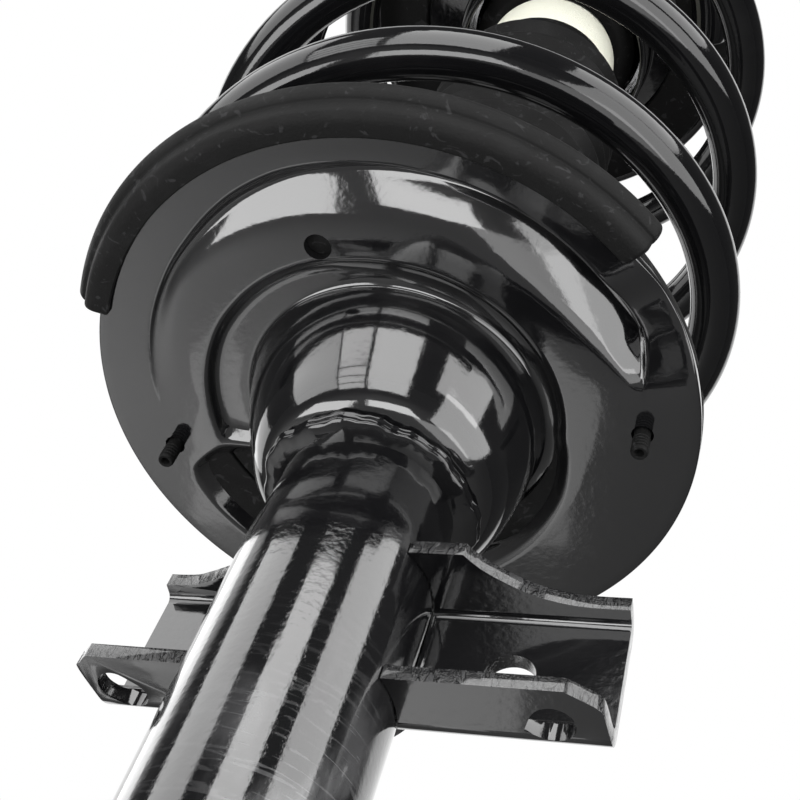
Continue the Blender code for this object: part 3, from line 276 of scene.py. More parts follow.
def make_floor():
    """A pale floor well under the strut."""
    seen_shade, lit_shade = (0.8, 0.8, 0.8), (0.17, 0.17, 0.17)
    finish = Finish("pale_floor", seen_shade, 0.9)
    seen = finish.add("ShaderNodeLightPath", out="Is Camera Ray")
    finish.feed("Base Color", finish.blend(seen, lit_shade, seen_shade))
    far = 3.0
    corners = [(-far, -far, FLOOR_Z), (far, -far, FLOOR_Z), (far, far, FLOOR_Z), (-far, far, FLOOR_Z)]
    mesh = bpy.data.meshes.new("floor")
    mesh.from_pydata(corners, [], [(0, 1, 2, 3)])
    mesh.materials.append(finish.material)
    add_object("floor", mesh)


# ---------- materials

BLACK = (0.004, 0.004, 0.0044)


def gloss_black(name, peel=1.0, dust=0.35, coat=1.0):
    """Baked black gloss paint: an orange's skin, faint dust and a little haze."""
    finish = Finish(name, BLACK, 0.1, Coat_Weight=coat, Coat_Roughness=0.05,
                    Specular_IOR_Level=0.5 * coat)
    waves = finish.noise(430.0, 1.5) + finish.noise(1500.0, 1.0) * 0.16 + finish.noise(3300.0, 1.0) * 0.11
    finish.relief(waves, 0.000045 * peel)
    cloud = finish.rise(finish.noise(38.0, 4.0), 0.5, 0.78)
    specks = finish.rise(finish.noise(2600.0, 1.0), 0.7, 0.82)
    grime = cloud * 0.3 + cloud * specks * 0.7
    finish.feed("Base Color", finish.blend(grime * dust, BLACK, (0.05, 0.05, 0.05)))
    finish.feed("Roughness", grime * (0.3 * dust) + 0.085)
    return finish


def tube_black():
    """The tube's gloss paint, with handling scuffs low on its right side."""
    finish = Finish("tube_black", BLACK, 0.09, Coat_Weight=1.0, Coat_Roughness=0.05)
    waves = finish.noise(520.0, 1.5) + finish.noise(1700.0, 1.0) * 0.22 + finish.noise(3400.0, 1.0) * 0.1
    low = finish.rise(finish.along(2), 0.105, 0.035)
    right = finish.rise(finish.along(0), -0.004, 0.016)
    hairs = finish.rise(finish.noise(60.0, 6.0, (1.0, 1.0, 9.0), distortion=1.2), 0.56, 0.6)
    smears = finish.rise(finish.noise(75.0, 5.0, (1.0, 1.0, 0.35)), 0.47, 0.66)
    scuffs = low * (right * 0.75 + 0.25) * (smears * 0.65 + hairs * 0.35)
    finish.relief(waves + finish.noise(900.0, 3.0) * scuffs * 0.6, 0.000062)
    finish.feed("Base Color", finish.blend(scuffs, BLACK, (0.11, 0.11, 0.112)))
    finish.feed("Roughness", scuffs * 0.26 + 0.075)
    return finish


def bracket_black():
    """Gloss paint on pressed plate, rough on its sheared edges, where the cut attribute is 1."""
    finish = Finish("bracket_black", BLACK, 0.12, Coat_Weight=1.0, Coat_Roughness=0.06)
    cut = finish.add("ShaderNodeAttribute", out="Fac", attribute_name="cut")
    tears = finish.noise(520.0, 3.0, (1.0, 1.0, 0.25)) + finish.noise(2300.0, 2.0) * 0.4
    skin = finish.noise(480.0, 1.5) + finish.noise(1900.0, 1.0) * 0.2
    nicks = finish.rise(finish.noise(760.0, 2.0, (1.0, 1.0, 0.3)), 0.5, 0.6) * cut
    finish.relief(skin * 0.04 + tears * cut * 0.4 + nicks * 0.6, 0.0012)
    cloud = finish.rise(finish.noise(60.0, 4.0), 0.52, 0.76)
    finish.feed("Base Color", finish.blend(cloud * 0.2 + nicks * 0.3, BLACK, (0.04, 0.04, 0.042)))
    finish.feed("Roughness", nicks * 0.25 + cloud * 0.08 + 0.1)
    return finish


def seat_rubber(name, shade=0.004):
    """Moulded black rubber: fine grain, faint bloom and pale handling marks."""
    finish = Finish(name, (shade, shade, shade), 0.55, Specular_IOR_Level=0.16)
    grain = finish.noise(1400.0, 3.0)
    bloom = finish.rise(finish.noise(55.0, 5.0, distortion=0.6), 0.45, 0.75)
    marks = finish.rise(finish.noise(170.0, 6.0, distortion=2.5), 0.6, 0.66)
    finish.relief(grain + finish.noise(260.0, 3.0) * 0.7, 0.0001)
    tone = finish.blend(bloom * 0.5, (shade,) * 3, (shade * 2.3, shade * 2.3, shade * 2.4))
    finish.feed("Base Color", finish.blend(marks * 0.5, tone, (0.03, 0.03, 0.031)))
    finish.feed("Roughness", 0.6 - bloom * 0.12 + grain * 0.06)
    return finish


def cell_foam():
    """Cream cellular foam with open pores and a slight skin, its colour darkened at the pores' bottoms as
    painted shade.
    """
    finish = Finish("cream_foam", (0.84, 0.84, 0.71), 0.75)
    pores = finish.add("ShaderNodeTexVoronoi", {"Vector": finish.place, "Scale": 1300.0})
    skin = finish.noise(220.0, 4.0)
    finish.relief(pores * 0.7 + skin * 0.3, 0.00022)
    # The mask of the pores' bottoms: the colour below is darkened there as painted shade, mixed with random
    # tone from the skin.
    shaded_pits = finish.rise(pores, 0.35, 0.05)
    finish.feed("Base Color", finish.blend(shaded_pits * 0.35 + skin * 0.25, (0.87, 0.87, 0.75),
                                           (0.7, 0.69, 0.54)))
    finish.feed("Roughness", shaded_pits * 0.15 + 0.7)
    return finish


def metal(name, color, roughness, lines=None, blotch=0.0):
    """Bare or plated metal: turning or grinding lines along an axis, and a faint mottle."""
    finish = Finish(name, color, roughness, 1.0)
    fine = finish.noise(900.0, 2.0, lines or (1.0, 1.0, 1.0))
    mottle = finish.rise(finish.noise(150.0, 4.0), 0.35, 0.7)
    dull = tuple(channel * (0.8 - blotch) for channel in color)
    finish.relief(fine, 0.00002 if lines else 0.00004)
    finish.feed("Base Color", finish.blend(mottle, color, dull))
    finish.feed("Roughness", mottle * (0.08 + blotch * 0.3) + fine * 0.1 + (roughness - 0.06))
    return finish


def nylon():
    """Off-white moulded nylon."""
    finish = Finish("moulded_nylon", (0.72, 0.7, 0.62), 0.42)
    shade = finish.noise(120.0, 3.0)
    finish.relief(finish.noise(700.0, 2.0), 0.00003)
    finish.feed("Base Color", finish.blend(shade, (0.74, 0.72, 0.64), (0.64, 0.62, 0.54)))
    return finish


def make_finishes():
    """The material of each kind of surface."""
    turning = (1.0, 1.0, 14.0)
    return {
        "paint": gloss_black("seat_black"), "tube": tube_black(), "bracket": bracket_black(),
        "spring": gloss_black("spring_black", 0.8, 0.2, 0.55),
        "weld": gloss_black("weld_black", 0.9, 0.2, 0.6),
        "rubber": seat_rubber("moulded_rubber"), "boot": seat_rubber("boot_rubber", 0.0035),
        "foam": cell_foam(), "nylon": nylon(),
        "zinc": metal("zinc_plate", (0.62, 0.62, 0.6), 0.3, blotch=0.1),
        "steel": metal("drawn_steel", (0.55, 0.55, 0.56), 0.32, turning),
        "race": metal("ground_steel", (0.58, 0.58, 0.59), 0.22, turning),
        "chrome": metal("hard_chrome", (0.78, 0.78, 0.79), 0.1, turning),
        "sintered": metal("sintered_iron", (0.32, 0.31, 0.3), 0.55, blotch=0.15),
        "bronze": metal("bronze_lining", (0.45, 0.3, 0.16), 0.42, turning)}


FINISHES = make_finishes()


def dress(item, kind, body, *nodes):
    """Give a piece its kind's material and slot, let it stand for its nodes, and let it ride its body."""
    item.data.materials.clear()
    item.data.materials.append(FINISHES[kind].material)
    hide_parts(*nodes)
    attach(item, body)


# ---------- surfaces

def smooth(value):
    """0 below 0, 1 above 1, and a smooth rise between."""
    value = np.clip(value, 0.0, 1.0)
    return value * value * (3.0 - 2.0 * value)


def smooth_line(points, count):
    """A line through points, smoothed between them by a cubic whose slopes follow their neighbours."""
    points = np.asarray(points, float)
    slope = np.gradient(points, axis=0)
    place = np.linspace(0.0, len(points) - 1.0, count)
    index = np.minimum(place.astype(int), len(points) - 2)
    t = (place - index)[:, None]
    return ((1.0 + 2.0 * t) * (1.0 - t) ** 2 * points[index] + t * (1.0 - t) ** 2 * slope[index]
            + t * t * (3.0 - 2.0 * t) * points[index + 1] - t * t * (1.0 - t) * slope[index + 1])


def rounded(corners, size, steps=4):
    """A closed outline whose corners are made round by parabolas, which start at size from each corner or
    at half a side. Leading axes are worked all at once."""
    corners = np.asarray(corners, float)
    size = np.broadcast_to(np.asarray(size, float), corners.shape[:-1])[..., None]
    ends = []
    for step in (1, -1):
        side = np.roll(corners, step, axis=-2) - corners
        length = np.maximum(np.linalg.norm(side[..., :2], axis=-1, keepdims=True), 1e-9)
        ends.append(corners + side * (np.minimum(size, 0.5 * length) / length))
    share = np.linspace(0.0, 1.0, steps + 1)[:, None]
    curve = ((1.0 - share) ** 2 * ends[0][..., None, :]
             + 2.0 * share * (1.0 - share) * corners[..., None, :] + share ** 2 * ends[1][..., None, :])
    return curve.reshape(*corners.shape[:-2], -1, corners.shape[-1])


def sections(corners):
    """Corners of (radius, height) as one section for each angle. A value may be an array over the angles."""
    values = np.broadcast_arrays(*[value for corner in corners for value in corner])
    return np.stack(values, axis=-1).reshape(len(values[0]), len(corners), -1)


def around(section, angles, centre=(0.0, 0.0)):
    """Points of a section of (radius, height) at each angle round an upright axis, or at a number of sides.
    It may differ from angle to angle, and a third value is a point's share in the centre's offset."""
    if np.ndim(angles) == 0:
        angles = whole_turn(angles)
    section = np.asarray(section, float)
    section = np.broadcast_to(section, (len(angles), *section.shape[-2:]))
    share = section[..., 2] if section.shape[-1] > 2 else 1.0
    turn = np.asarray(angles)[:, None]
    return np.stack([centre[0] * share + section[..., 0] * np.cos(turn),
                     centre[1] * share + section[..., 0] * np.sin(turn), section[..., 1]], axis=-1)


def skin(points, ring=True):
    """Closed sections set side by side with the quads between them. An open run gets end faces."""
    index = np.arange(points.size // 3).reshape(points.shape[:2])
    across = np.roll(index, -1, axis=1)
    quads = np.stack([index, across, np.roll(across, -1, axis=0), np.roll(index, -1, axis=0)], axis=-1)
    if ring:
        return points, quads.reshape(-1, 4).tolist()
    return points, quads[:-1].reshape(-1, 4).tolist() + [index[0].tolist(), index[-1, ::-1].tolist()]


def shade(mesh, sharp):
    """Smooth shading, with sharp edges over an angle in degrees."""
    mesh.shade_smooth()
    mesh.set_sharp_from_angle(angle=math.radians(sharp))


def piece(name, *skins, sharp=42.0):
    """A mesh object of one or more skins, whose doubles are merged and whose faces point outwards."""
    points = []
    faces = []
    for skin_points, skin_faces in skins:
        start = len(points)
        points += skin_points.reshape(-1, 3).tolist()
        faces += [[start + corner for corner in face] for face in skin_faces] if start else skin_faces
    mesh = bpy.data.meshes.new(name)
    mesh.from_pydata(points, [], faces)
    work = bmesh.new()
    work.from_mesh(mesh)
    bmesh.ops.remove_doubles(work, verts=work.verts, dist=2e-7)
    bmesh.ops.recalc_face_normals(work, faces=work.faces)
    work.to_mesh(mesh)
    work.free()
    shade(mesh, sharp)
    return add_object(name, mesh)


def turned(name, corners, size, sides, centre=(0.0, 0.0), steps=3, sharp=42.0):
    """A closed outline with rounded corners, carried round an upright axis."""
    return piece(name, skin(around(rounded(corners, size, steps), sides, centre)), sharp=sharp)


def whole_turn(count):
    """The angles of a whole turn in even steps."""
    return TURN * np.arange(count) / count


def arc(centre, radius, start, end, steps):
    """Points of an arc in a plane, both ends included."""
    angle = np.linspace(start, end, steps + 1)
    return np.stack([centre[0] + radius * np.cos(angle), centre[1] + radius * np.sin(angle)], axis=-1)


def rectangle(near, far, low, high):
    """The corners of a rectangle."""
    return [(near, low), (near, high), (far, high), (far, low)]


def prism(outline, low, high, axes=(0, 1, 2), name="cutter"):
    """A flat outline pulled along the third of the named axes."""
    outline = np.asarray(outline, float)
    points = np.zeros((2, len(outline), 3))
    points[:, :, axes[:2]] = outline
    points[:, :, axes[2]] = np.array([low, high])[:, None]
    return piece(name, skin(points, ring=False))


def peg(place, radius, low, high, sides=40):
    """A round cutter that stands at a place."""
    return prism(arc(place, radius, 0.0, TURN - TURN / sides, sides - 1), low, high)


def settle(item, sharp=42.0):
    """Work the modifiers of a piece into its mesh."""
    seen = item.evaluated_get(bpy.context.evaluated_depsgraph_get())
    mesh = bpy.data.meshes.new_from_object(seen)
    item.modifiers.clear()
    item.data = mesh
    mesh.name = item.name
    shade(mesh, sharp)


def combine(target, tools, operation="DIFFERENCE", sharp=42.0):
    """Cut tools from a piece, or join them to it, and delete them."""
    for tool in tools:
        modifier = target.modifiers.new("shape", "BOOLEAN")
        modifier.operation = operation
        modifier.solver = "EXACT"
        modifier.object = tool
    settle(target, sharp)
    for tool in tools:
        bpy.data.objects.remove(tool, do_unlink=True)


# ---------- tube, bracket and weld

def make_tube():
    """The strut tube, swaged to its neck above the bracket, and the disc in its foot."""
    top = SHOULDER_Z + SHOULDER_LENGTH
    bore, neck_bore = TUBE_R - TUBE_WALL, NECK_R - TUBE_WALL
    corners = [(TUBE_R, 0.0), (TUBE_R, 0.06), (TUBE_R, SHOULDER_Z), (NECK_R, top), (NECK_R, 0.2),
               (NECK_R, TUBE_TOP_Z), (neck_bore, TUBE_TOP_Z), (neck_bore, top), (bore, SHOULDER_Z),
               (bore, 0.0)]
    size = [0.0006, 0.01, 0.0085, 0.0085, 0.01, 0.0005, 0.0005, 0.002, 0.002, 0.0005]
    dress(turned("tube_skin", corners, size, 192, steps=8), "tube", "strut_body", "strut_tube")
    foot_r = bore - FIT
    corners = [(0.0, 0.0006), (0.012, 0.0006), (foot_r - 0.002, 0.0), (foot_r, 0.0012),
               (foot_r, 0.006), (0.0, 0.006)]
    foot = turned("foot_disc", corners, [0.0, 0.004, 0.001, 0.0008, 0.0005, 0.0], 96)
    dress(foot, "paint", "strut_body", "tube_foot")


def make_seat_weld():
    """Two passes of weld round the tube: a section with two bulges and leaning ripples along its run."""
    angle = whole_turn(720)[:, None]
    share = np.linspace(0.0, 1.0, 26)[None, :]
    bore = NECK_R - 0.0004
    reach = (0.006 + 0.0006 * np.sin(3.0 * angle + 0.7) + 0.0005 * np.sin(7.0 * angle)
             + 0.0003 * np.sin(19.0 * angle + 1.0))
    waist = 0.08 + 0.03 * np.sin(5.0 * angle + 1.3)
    bulge = np.sin(math.pi * share) ** 0.42 * (1.0 - waist * np.cos(4.0 * math.pi * share + 0.5))
    lean = np.where(share > 0.5, 1.4, -1.2) * (share - 0.5)
    front = 0.5 - 0.5 * np.cos(46.0 * angle + TURN * (lean + 0.15 * np.sin(5.0 * angle)))
    radius = bore + reach * bulge * (1.0 - 0.014 * front)
    drop = 0.0054 + 0.0006 * np.sin(4.0 * angle + 2.0)
    height = SEAT_Z - 0.0295 - drop * (1.0 - share) - 0.00015 * front * np.sin(math.pi * share)
    points = around(np.stack([radius, height], axis=-1), len(angle))
    dress(piece("hub_weld", skin(points), sharp=60.0), "weld", "strut_body", "seat_weld")


def bent_channel():
    """The bracket's blank: a plate channel with two bends, carried along X."""
    front, gusset_front = -0.0097, -0.0135
    low_bend, high_bend = [(WEB_Y - BEND_R, z) for z in (BRACKET_LOW_Z + BEND_R, BRACKET_HIGH_Z - BEND_R)]
    section = np.concatenate([
        [(front, BRACKET_LOW_Z)],
        arc(low_bend, BEND_R, -QUARTER, 0.0, 12), arc(high_bend, BEND_R, 0.0, QUARTER, 12),
        [(gusset_front, BRACKET_HIGH_Z), (gusset_front, BRACKET_HIGH_Z - PLATE)],
        arc(high_bend, BEND_R - PLATE, QUARTER, 0.0, 12), arc(low_bend, BEND_R - PLATE, 0.0, -QUARTER, 12),
        [(front, BRACKET_LOW_Z + PLATE)]])
    return prism(section, -0.051, 0.072, (1, 2, 0), "bent_bracket")


def bracket_trims(over, under, beside):
    """Cutters for the left web's end, the hollow fronts of the top flange and the low flange's corners."""
    tools = [prism(rectangle(-0.053, -0.045, -0.03, 0.03), BRACKET_LOW_Z + BEND_R, over)]
    right_sweep = smooth_line([
        (0.03, -0.0205), (0.0335, -0.015), (0.0369, -0.0106), (0.0407, -0.0073), (0.0473, -0.0031),
        (0.0535, -0.0006), (0.0615, 0.0009), (0.074, 0.0011)], 40)
    left_sweep = smooth_line([
        (-0.02, -0.0062), (-0.0287, -0.0023), (-0.034, -0.0001), (-0.0392, 0.0013), (-0.053, 0.0017)], 24)
    for sweep in (right_sweep, left_sweep):
        outline = np.concatenate([sweep, [(sweep[-1, 0], -0.03), (sweep[0, 0], -0.03)]])
        tools.append(prism(outline, BRACKET_HIGH_Z - PLATE - 0.001, over))
    right_corner = smooth_line([
        (0.06, -0.0115), (0.0612, -0.0108), (0.068, -0.0066), (0.07, -0.005), (0.071, -0.003),
        (0.0718, 0.004), (0.0722, 0.006)], 30)
    left_corner = smooth_line([
        (-0.0465, -0.011), (-0.0498, -0.0074), (-0.0507, -0.0048), (-0.0464, 0.011)], 20)
    for corner, top in ((right_corner, beside), (left_corner, beside + 0.003)):
        beyond = corner[-1, 0] + math.copysign(0.006, corner[0, 0])
        outline = np.concatenate([corner, [(beyond, corner[-1, 1]), (beyond, corner[0, 1])]])
        tools.append(prism(outline, under, top))
    return tools


def bracket_holes(over, under, beside):
    """Cutters for the drop-shaped hole, the slanted slot, the web's hole and the tube."""
    centre, radius, reach, turn = (0.0598, 0.0008), 0.0051, 0.0071, math.radians(160.0)
    half = math.acos(radius / reach)
    drop = np.concatenate([arc(centre, radius, turn + half, turn + TURN - half, 36),
                           arc(centre, reach, turn, turn, 0)])
    slot = np.concatenate([arc((0.002, 0.0), 0.0044, -QUARTER, QUARTER, 16),
                           arc((-0.002, 0.0), 0.0044, QUARTER, 3.0 * QUARTER, 16)])
    lean = math.radians(38.0)
    slot = slot @ [(math.cos(lean), math.sin(lean)), (-math.sin(lean), math.cos(lean))] + (-0.0412, 0.001)
    hole = arc((0.0465, BRACKET_LOW_Z + 0.0183), 0.006, 0.0, TURN * 47.0 / 48.0, 47)
    return [prism(rounded(drop, 0.0008, 2)[::2], under, beside), prism(slot, under, beside),
            prism(hole, WEB_Y - PLATE - 0.001, WEB_Y + 0.001, (0, 2, 1)),
            peg((0.0, 0.0), TUBE_R + FIT, under - 0.02, over + 0.02, 96)]


def make_bracket():
    """The knuckle bracket: the channel, trimmed, drilled and wrapped round the tube, with rounded edges."""
    bracket = bent_channel()
    reaches = (BRACKET_HIGH_Z + 0.002, BRACKET_LOW_Z - 0.002, BRACKET_LOW_Z + PLATE + 0.001)
    combine(bracket, bracket_trims(*reaches) + bracket_holes(*reaches))

    saddle_in, saddle_out = TUBE_R + FIT, TUBE_R + FIT + PLATE
    start = math.asin((WEB_Y - PLATE) / saddle_out) + 0.02
    outline = np.concatenate([arc((0.0, 0.0), saddle_out, start, math.pi - start, 60),
                              arc((0.0, 0.0), saddle_in, math.pi - start, start, 60)])
    combine(bracket, [prism(outline, BRACKET_LOW_Z + 0.012, BRACKET_HIGH_Z - 0.0006)], "UNION")

    bevel = bracket.modifiers.new("edges", "BEVEL")
    bevel.width = 0.00055
    bevel.segments = 3
    bevel.limit_method = "ANGLE"
    bevel.angle_limit = math.radians(38.0)
    settle(bracket, 36.0)
    mark_cut_faces(bracket.data)
    dress(bracket, "bracket", "strut_body", "knuckle_bracket")


def mark_cut_faces(mesh):
    """Shade the plate's large faces flat, and set the cut attribute to 1 on the faces that lie across the
    plate: its sheared edges and its holes."""
    large = 3e-4
    count = len(mesh.polygons)
    area, centre, normal = np.empty(count), np.empty(count * 3), np.empty(count * 3)
    for name, values in (("area", area), ("center", centre), ("normal", normal)):
        mesh.polygons.foreach_get(name, values)
    mesh.polygons.foreach_set("use_smooth", area < large)
    centre = centre.reshape(-1, 3)
    normal = np.abs(normal.reshape(-1, 3))
    y, z = centre[:, 1], centre[:, 2]
    flange = (z < BRACKET_LOW_Z + PLATE + 0.0005) | (z > BRACKET_HIGH_Z - PLATE - 0.0005)
    across_flange = flange & (y < WEB_Y - BEND_R) & (normal[:, 2] < 0.6)
    in_web = (y > WEB_Y - PLATE + 0.0003) & (y < WEB_Y - 0.0003)
    cut = across_flange | (in_web & (normal[:, 1] < 0.4) & ~flange) | (normal[:, 0] > 0.75)
    mesh.attributes.new("cut", "FLOAT", "FACE").data.foreach_set("value", cut.astype(np.float32))


# ---------- lower seat

# The radius in millimetres at each angle in degrees of the recess's edge and of the channel's two edges.
RECESS_EDGE = (
    (-170, 53.0), (-149, 51.6), (-139, 50.6), (-119, 49.2), (-104, 48.2), (-94, 47.2), (-78, 46.8),
    (-55, 47.2), (-30, 47.8), (11, 49.0), (16, 50.5), (26, 53.0), (34, 55.0), (41, 56.3), (54, 58.6),
    (66, 60.8), (90, 65.0), (115, 69.5), (138, 72.0), (148, 71.6), (156, 70.4), (161, 69.0), (163, 62.0),
    (165, 55.0), (172, 54.0))
GROOVE_INNER = (
    (-180, 58.5), (-165, 61.0), (-150, 63.5), (-142, 64.0), (-135, 62.5), (-120, 59.6), (-106, 56.9),
    (-91, 55.4), (-79, 55.4), (-65, 56.6), (-50, 58.2), (-34, 59.3), (-25, 61.0), (-16, 64.2), (-8, 66.6),
    (-3, 67.0), (6, 64.0), (20, 60.0), (41, 60.5), (66, 64.5), (90, 68.0), (115, 72.0), (138, 74.0),
    (156, 73.0), (163, 71.5), (170, 66.0))
GROOVE_OUTER = (
    (-180, 69.8), (-145, 70.4), (-130, 71.4), (-114, 73.7), (-103, 74.7), (-60, 74.4), (-32, 74.2),
    (-18, 75.4), (-6, 71.4), (-2, 70.6), (11, 74.0), (90, 75.6), (115, 76.0), (138, 76.8), (163, 75.5),
    (172, 71.0))


def on_seat(reach, degrees):
    """The place at a distance and an angle from the spring's centre."""
    turn = math.radians(degrees)
    return SPRING[0] + reach * math.cos(turn), SPRING[1] + reach * math.sin(turn)


NUB_PLACES = (on_seat(0.0698, 6.0), on_seat(0.0698, 168.0))
DRAIN_PLACE = on_seat(0.0522, -101.0)


def ring_table(table, degrees, spread=2.5):
    """A radius in metres at each angle: straight between the table's values, then smoothed round the ring."""
    given = np.array(table, float)
    values = np.interp(degrees, given[:, 0], given[:, 1], period=360.0) / 1000.0
    away = (np.arange(len(degrees)) - len(degrees) // 2) * (360.0 / len(degrees))
    window = np.exp(-(away / spread) ** 2)
    window = np.roll(window / window.sum(), -(len(degrees) // 2))
    return np.real(np.fft.ifft(np.fft.fft(values) * np.fft.fft(window)))


def ramp_rise(degrees):
    """The height of the coil's ramp: it climbs slowly round the front and ends in a short step."""
    along = (degrees + 5.0) % 360.0 - 365.0
    climb = RAMP_HEIGHT * smooth((along + 185.0) / 168.0 * 1.15)
    fall = RAMP_HEIGHT * (1.0 - smooth((along + 17.0) / 12.0))
    return np.where(along <= -17.0, climb, fall)


def ring_lift(degrees):
    """The outer ring climbs a little before the ramp's end and falls back beside it."""
    return RING_STEP * smooth((degrees + 34.0) / 11.0) * (1.0 - smooth((degrees + 18.0) / 15.0))


def make_lower_seat():
    """The pressed seat: at each angle a sheet section through the hub, the recess, the ring, the ramped
    channel and the rim. Each point shares in the spring's offset."""
    count = 600
    degrees = -180.0 + 360.0 * np.arange(count) / count
    recess_edge = ring_table(RECESS_EDGE, degrees)
    inner = np.maximum(ring_table(GROOVE_INNER, degrees), recess_edge + 0.0012)
    outer = np.maximum(ring_table(GROOVE_OUTER, degrees), inner + 0.0012)
    pocket = smooth((degrees - 2.0) / 30.0) * smooth((167.0 - degrees) / 4.0)
    rib = np.exp(-((degrees - 165.0) / 3.8) ** 2)
    depth = (0.003 + 0.0018 * pocket) * (1.0 - 0.92 * rib)
    under, over, sizes = [], [], []

    def bend(radius, height, share, size, sheet=(0.0, SEAT_SHEET)):
        """One bend of the section on both faces of the sheet."""
        under.append((radius, height, share))
        over.append((radius + sheet[0], height + sheet[1], share))
        sizes.append(size)

    deep = HUB[-1][1]
    bend(NECK_R + FIT, deep, 0.0, 0.0003)
    sheets = ((-0.001, 0.0029), (-0.0018, 0.0024), (-0.0026, 0.0015), (-0.0028, 0.001), (-0.0029, 0.0006),
              (-0.003, 0.0012))
    for (radius, height), sheet in zip(reversed(HUB), sheets):
        bend(radius, height, 0.5 * (1.0 - height / deep) ** 2, 0.0035, sheet)
    bend(0.0421, depth, 0.5, 0.0011, (-0.002, SEAT_SHEET))
    bend(recess_edge - 0.0022 - 0.003 * pocket, depth, 1.0, 0.0016)
    bend(recess_edge, 0.0, 1.0, 0.0014)
    bend(inner, 0.0, 1.0, 0.0024)
    wide = outer - inner
    rise = ramp_rise(degrees)
    lift = ring_lift(degrees)
    late = smooth((degrees + 68.0) / 24.0)
    for share, climb, shift, more in ((0.25, 0.09, 0.05, 0.22), (0.52, 0.44, 0.08, 0.24)):
        bend(inner + wide * (share + shift * late), rise * (climb + more * late), 1.0, 0.01)
    bend(inner + wide * 0.84, rise, 1.0, 0.0022)
    bend(outer - wide * 0.07, rise * 0.28 + lift * 0.7, 1.0, 0.0012)
    for radius, size in ((outer, 0.001), (0.08, 0.002), (SEAT_R, 0.0006)):
        bend(radius, lift, 1.0, size)
    section = rounded(sections(under + over[::-1]), sizes + sizes[::-1], 4) + (0.0, SEAT_Z, 0.0)
    seat = piece("pressed_seat", skin(around(section, np.radians(degrees), SPRING)), sharp=50.0)
    tools = [peg(place, radius, SEAT_Z - 0.006, SEAT_Z + 0.01)
             for place, radius in ((DRAIN_PLACE, 0.0037), (NUB_PLACES[0], 0.003), (NUB_PLACES[1], 0.003))]
    combine(seat, tools, sharp=50.0)
    dress(seat, "paint", "strut_body", "lower_spring_seat")


# ---------- rubber, spring and foam

def rim_wall():
    """The insulator's wall round the rim: a foot, a groove and a lip, with rounded ends."""
    corners = np.array([
        (0.082, -0.0017), (0.087, -0.0021), (0.0892, -0.0012), (0.09, 0.001), (0.0904, 0.0022),
        (0.0914, 0.0022), (0.0926, 0.0034), (0.0934, 0.0055), (0.0926, 0.0072), (0.0893, 0.0119),
        (0.0864, 0.0119), (0.0842, 0.0063), (0.083, 0.0033), (0.0853, 0.0031), (0.0853, -0.0003),
        (0.082, -0.0003)]) + (0.0, SEAT_Z)
    size = [0.0005, 0.0012, 0.001, 0.0008, 0.0005, 0.0006, 0.001, 0.001, 0.0012, 0.0012, 0.001, 0.0008,
            0.0003, 0.0003, 0.0003, 0.0004]
    start, end, round_end = math.radians(-158.0), math.radians(-33.0), 0.022
    taper = round_end * (1.0 - np.cos(np.linspace(0.0, QUARTER, 8)))
    angles = np.concatenate([start + taper, np.linspace(start, end, 150)[3:-3], end - taper[::-1]])
    into = np.clip(np.minimum(angles - start, end - angles) / round_end, 0.0, 1.0)
    shrink = np.sqrt(np.clip(1.0 - (1.0 - into) ** 2, 0.0, 1.0)) * 0.45 + 0.55
    middle = np.array([0.0872, SEAT_Z + 0.0035])
    walls = middle + (rounded(corners, size, 4) - middle) * shrink[:, None, None]
    return skin(around(walls, angles, SPRING), ring=False)


def make_lower_insulator():
    """The rubber under the coil: the wall round the rim, the flat bed, a thin inner ring, and two ribbed
    nubs with hollow tips pushed through the seat."""
    low, high = SEAT_Z + SEAT_SHEET + FIT, PAD_TOP_Z
    degrees = np.linspace(-2.0, 352.0, 360)
    inner = 0.0565 + 0.02 * smooth((degrees - 171.0) / 4.0)
    outer = 0.0851
    bed = rounded(sections(rectangle(inner, outer, low, high)), 0.0006, 3)
    ring = rounded(rectangle(0.0476, 0.0556, low, low + 0.0012), 0.0003, 2)
    skins = [rim_wall(), skin(around(bed, np.radians(degrees), SPRING), ring=False),
             skin(around(ring, 200, SPRING))]

    tip = SEAT_Z - 0.008
    ribs = np.arange(5)[:, None]
    side = np.stack([np.tile([0.0024, 0.0024, 0.00218, 0.00218], 5),
                     (tip + 0.0008 + 0.0012 * ribs + np.array([0.0, 0.0006, 0.0007, 0.0011])).ravel()],
                    axis=-1)[::-1]
    nub = np.concatenate([[(0.0, high - 0.001), (0.0024, high - 0.001)], side,
                          [(0.0021, tip), (0.0013, tip + 0.0001), (0.001, tip + 0.003), (0.0, tip + 0.003)]])
    size = np.full(len(nub), 0.00012)
    size[[0, -1]] = 0.0
    skins += [skin(around(rounded(nub, size, 2), 40, place)) for place in NUB_PLACES]
    dress(piece("rubber_insulator", *skins, sharp=35.0), "rubber", "strut_body", "lower_insulator")


def shorten(item):
    """Give a piece its own copy of its mesh."""
    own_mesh(item)


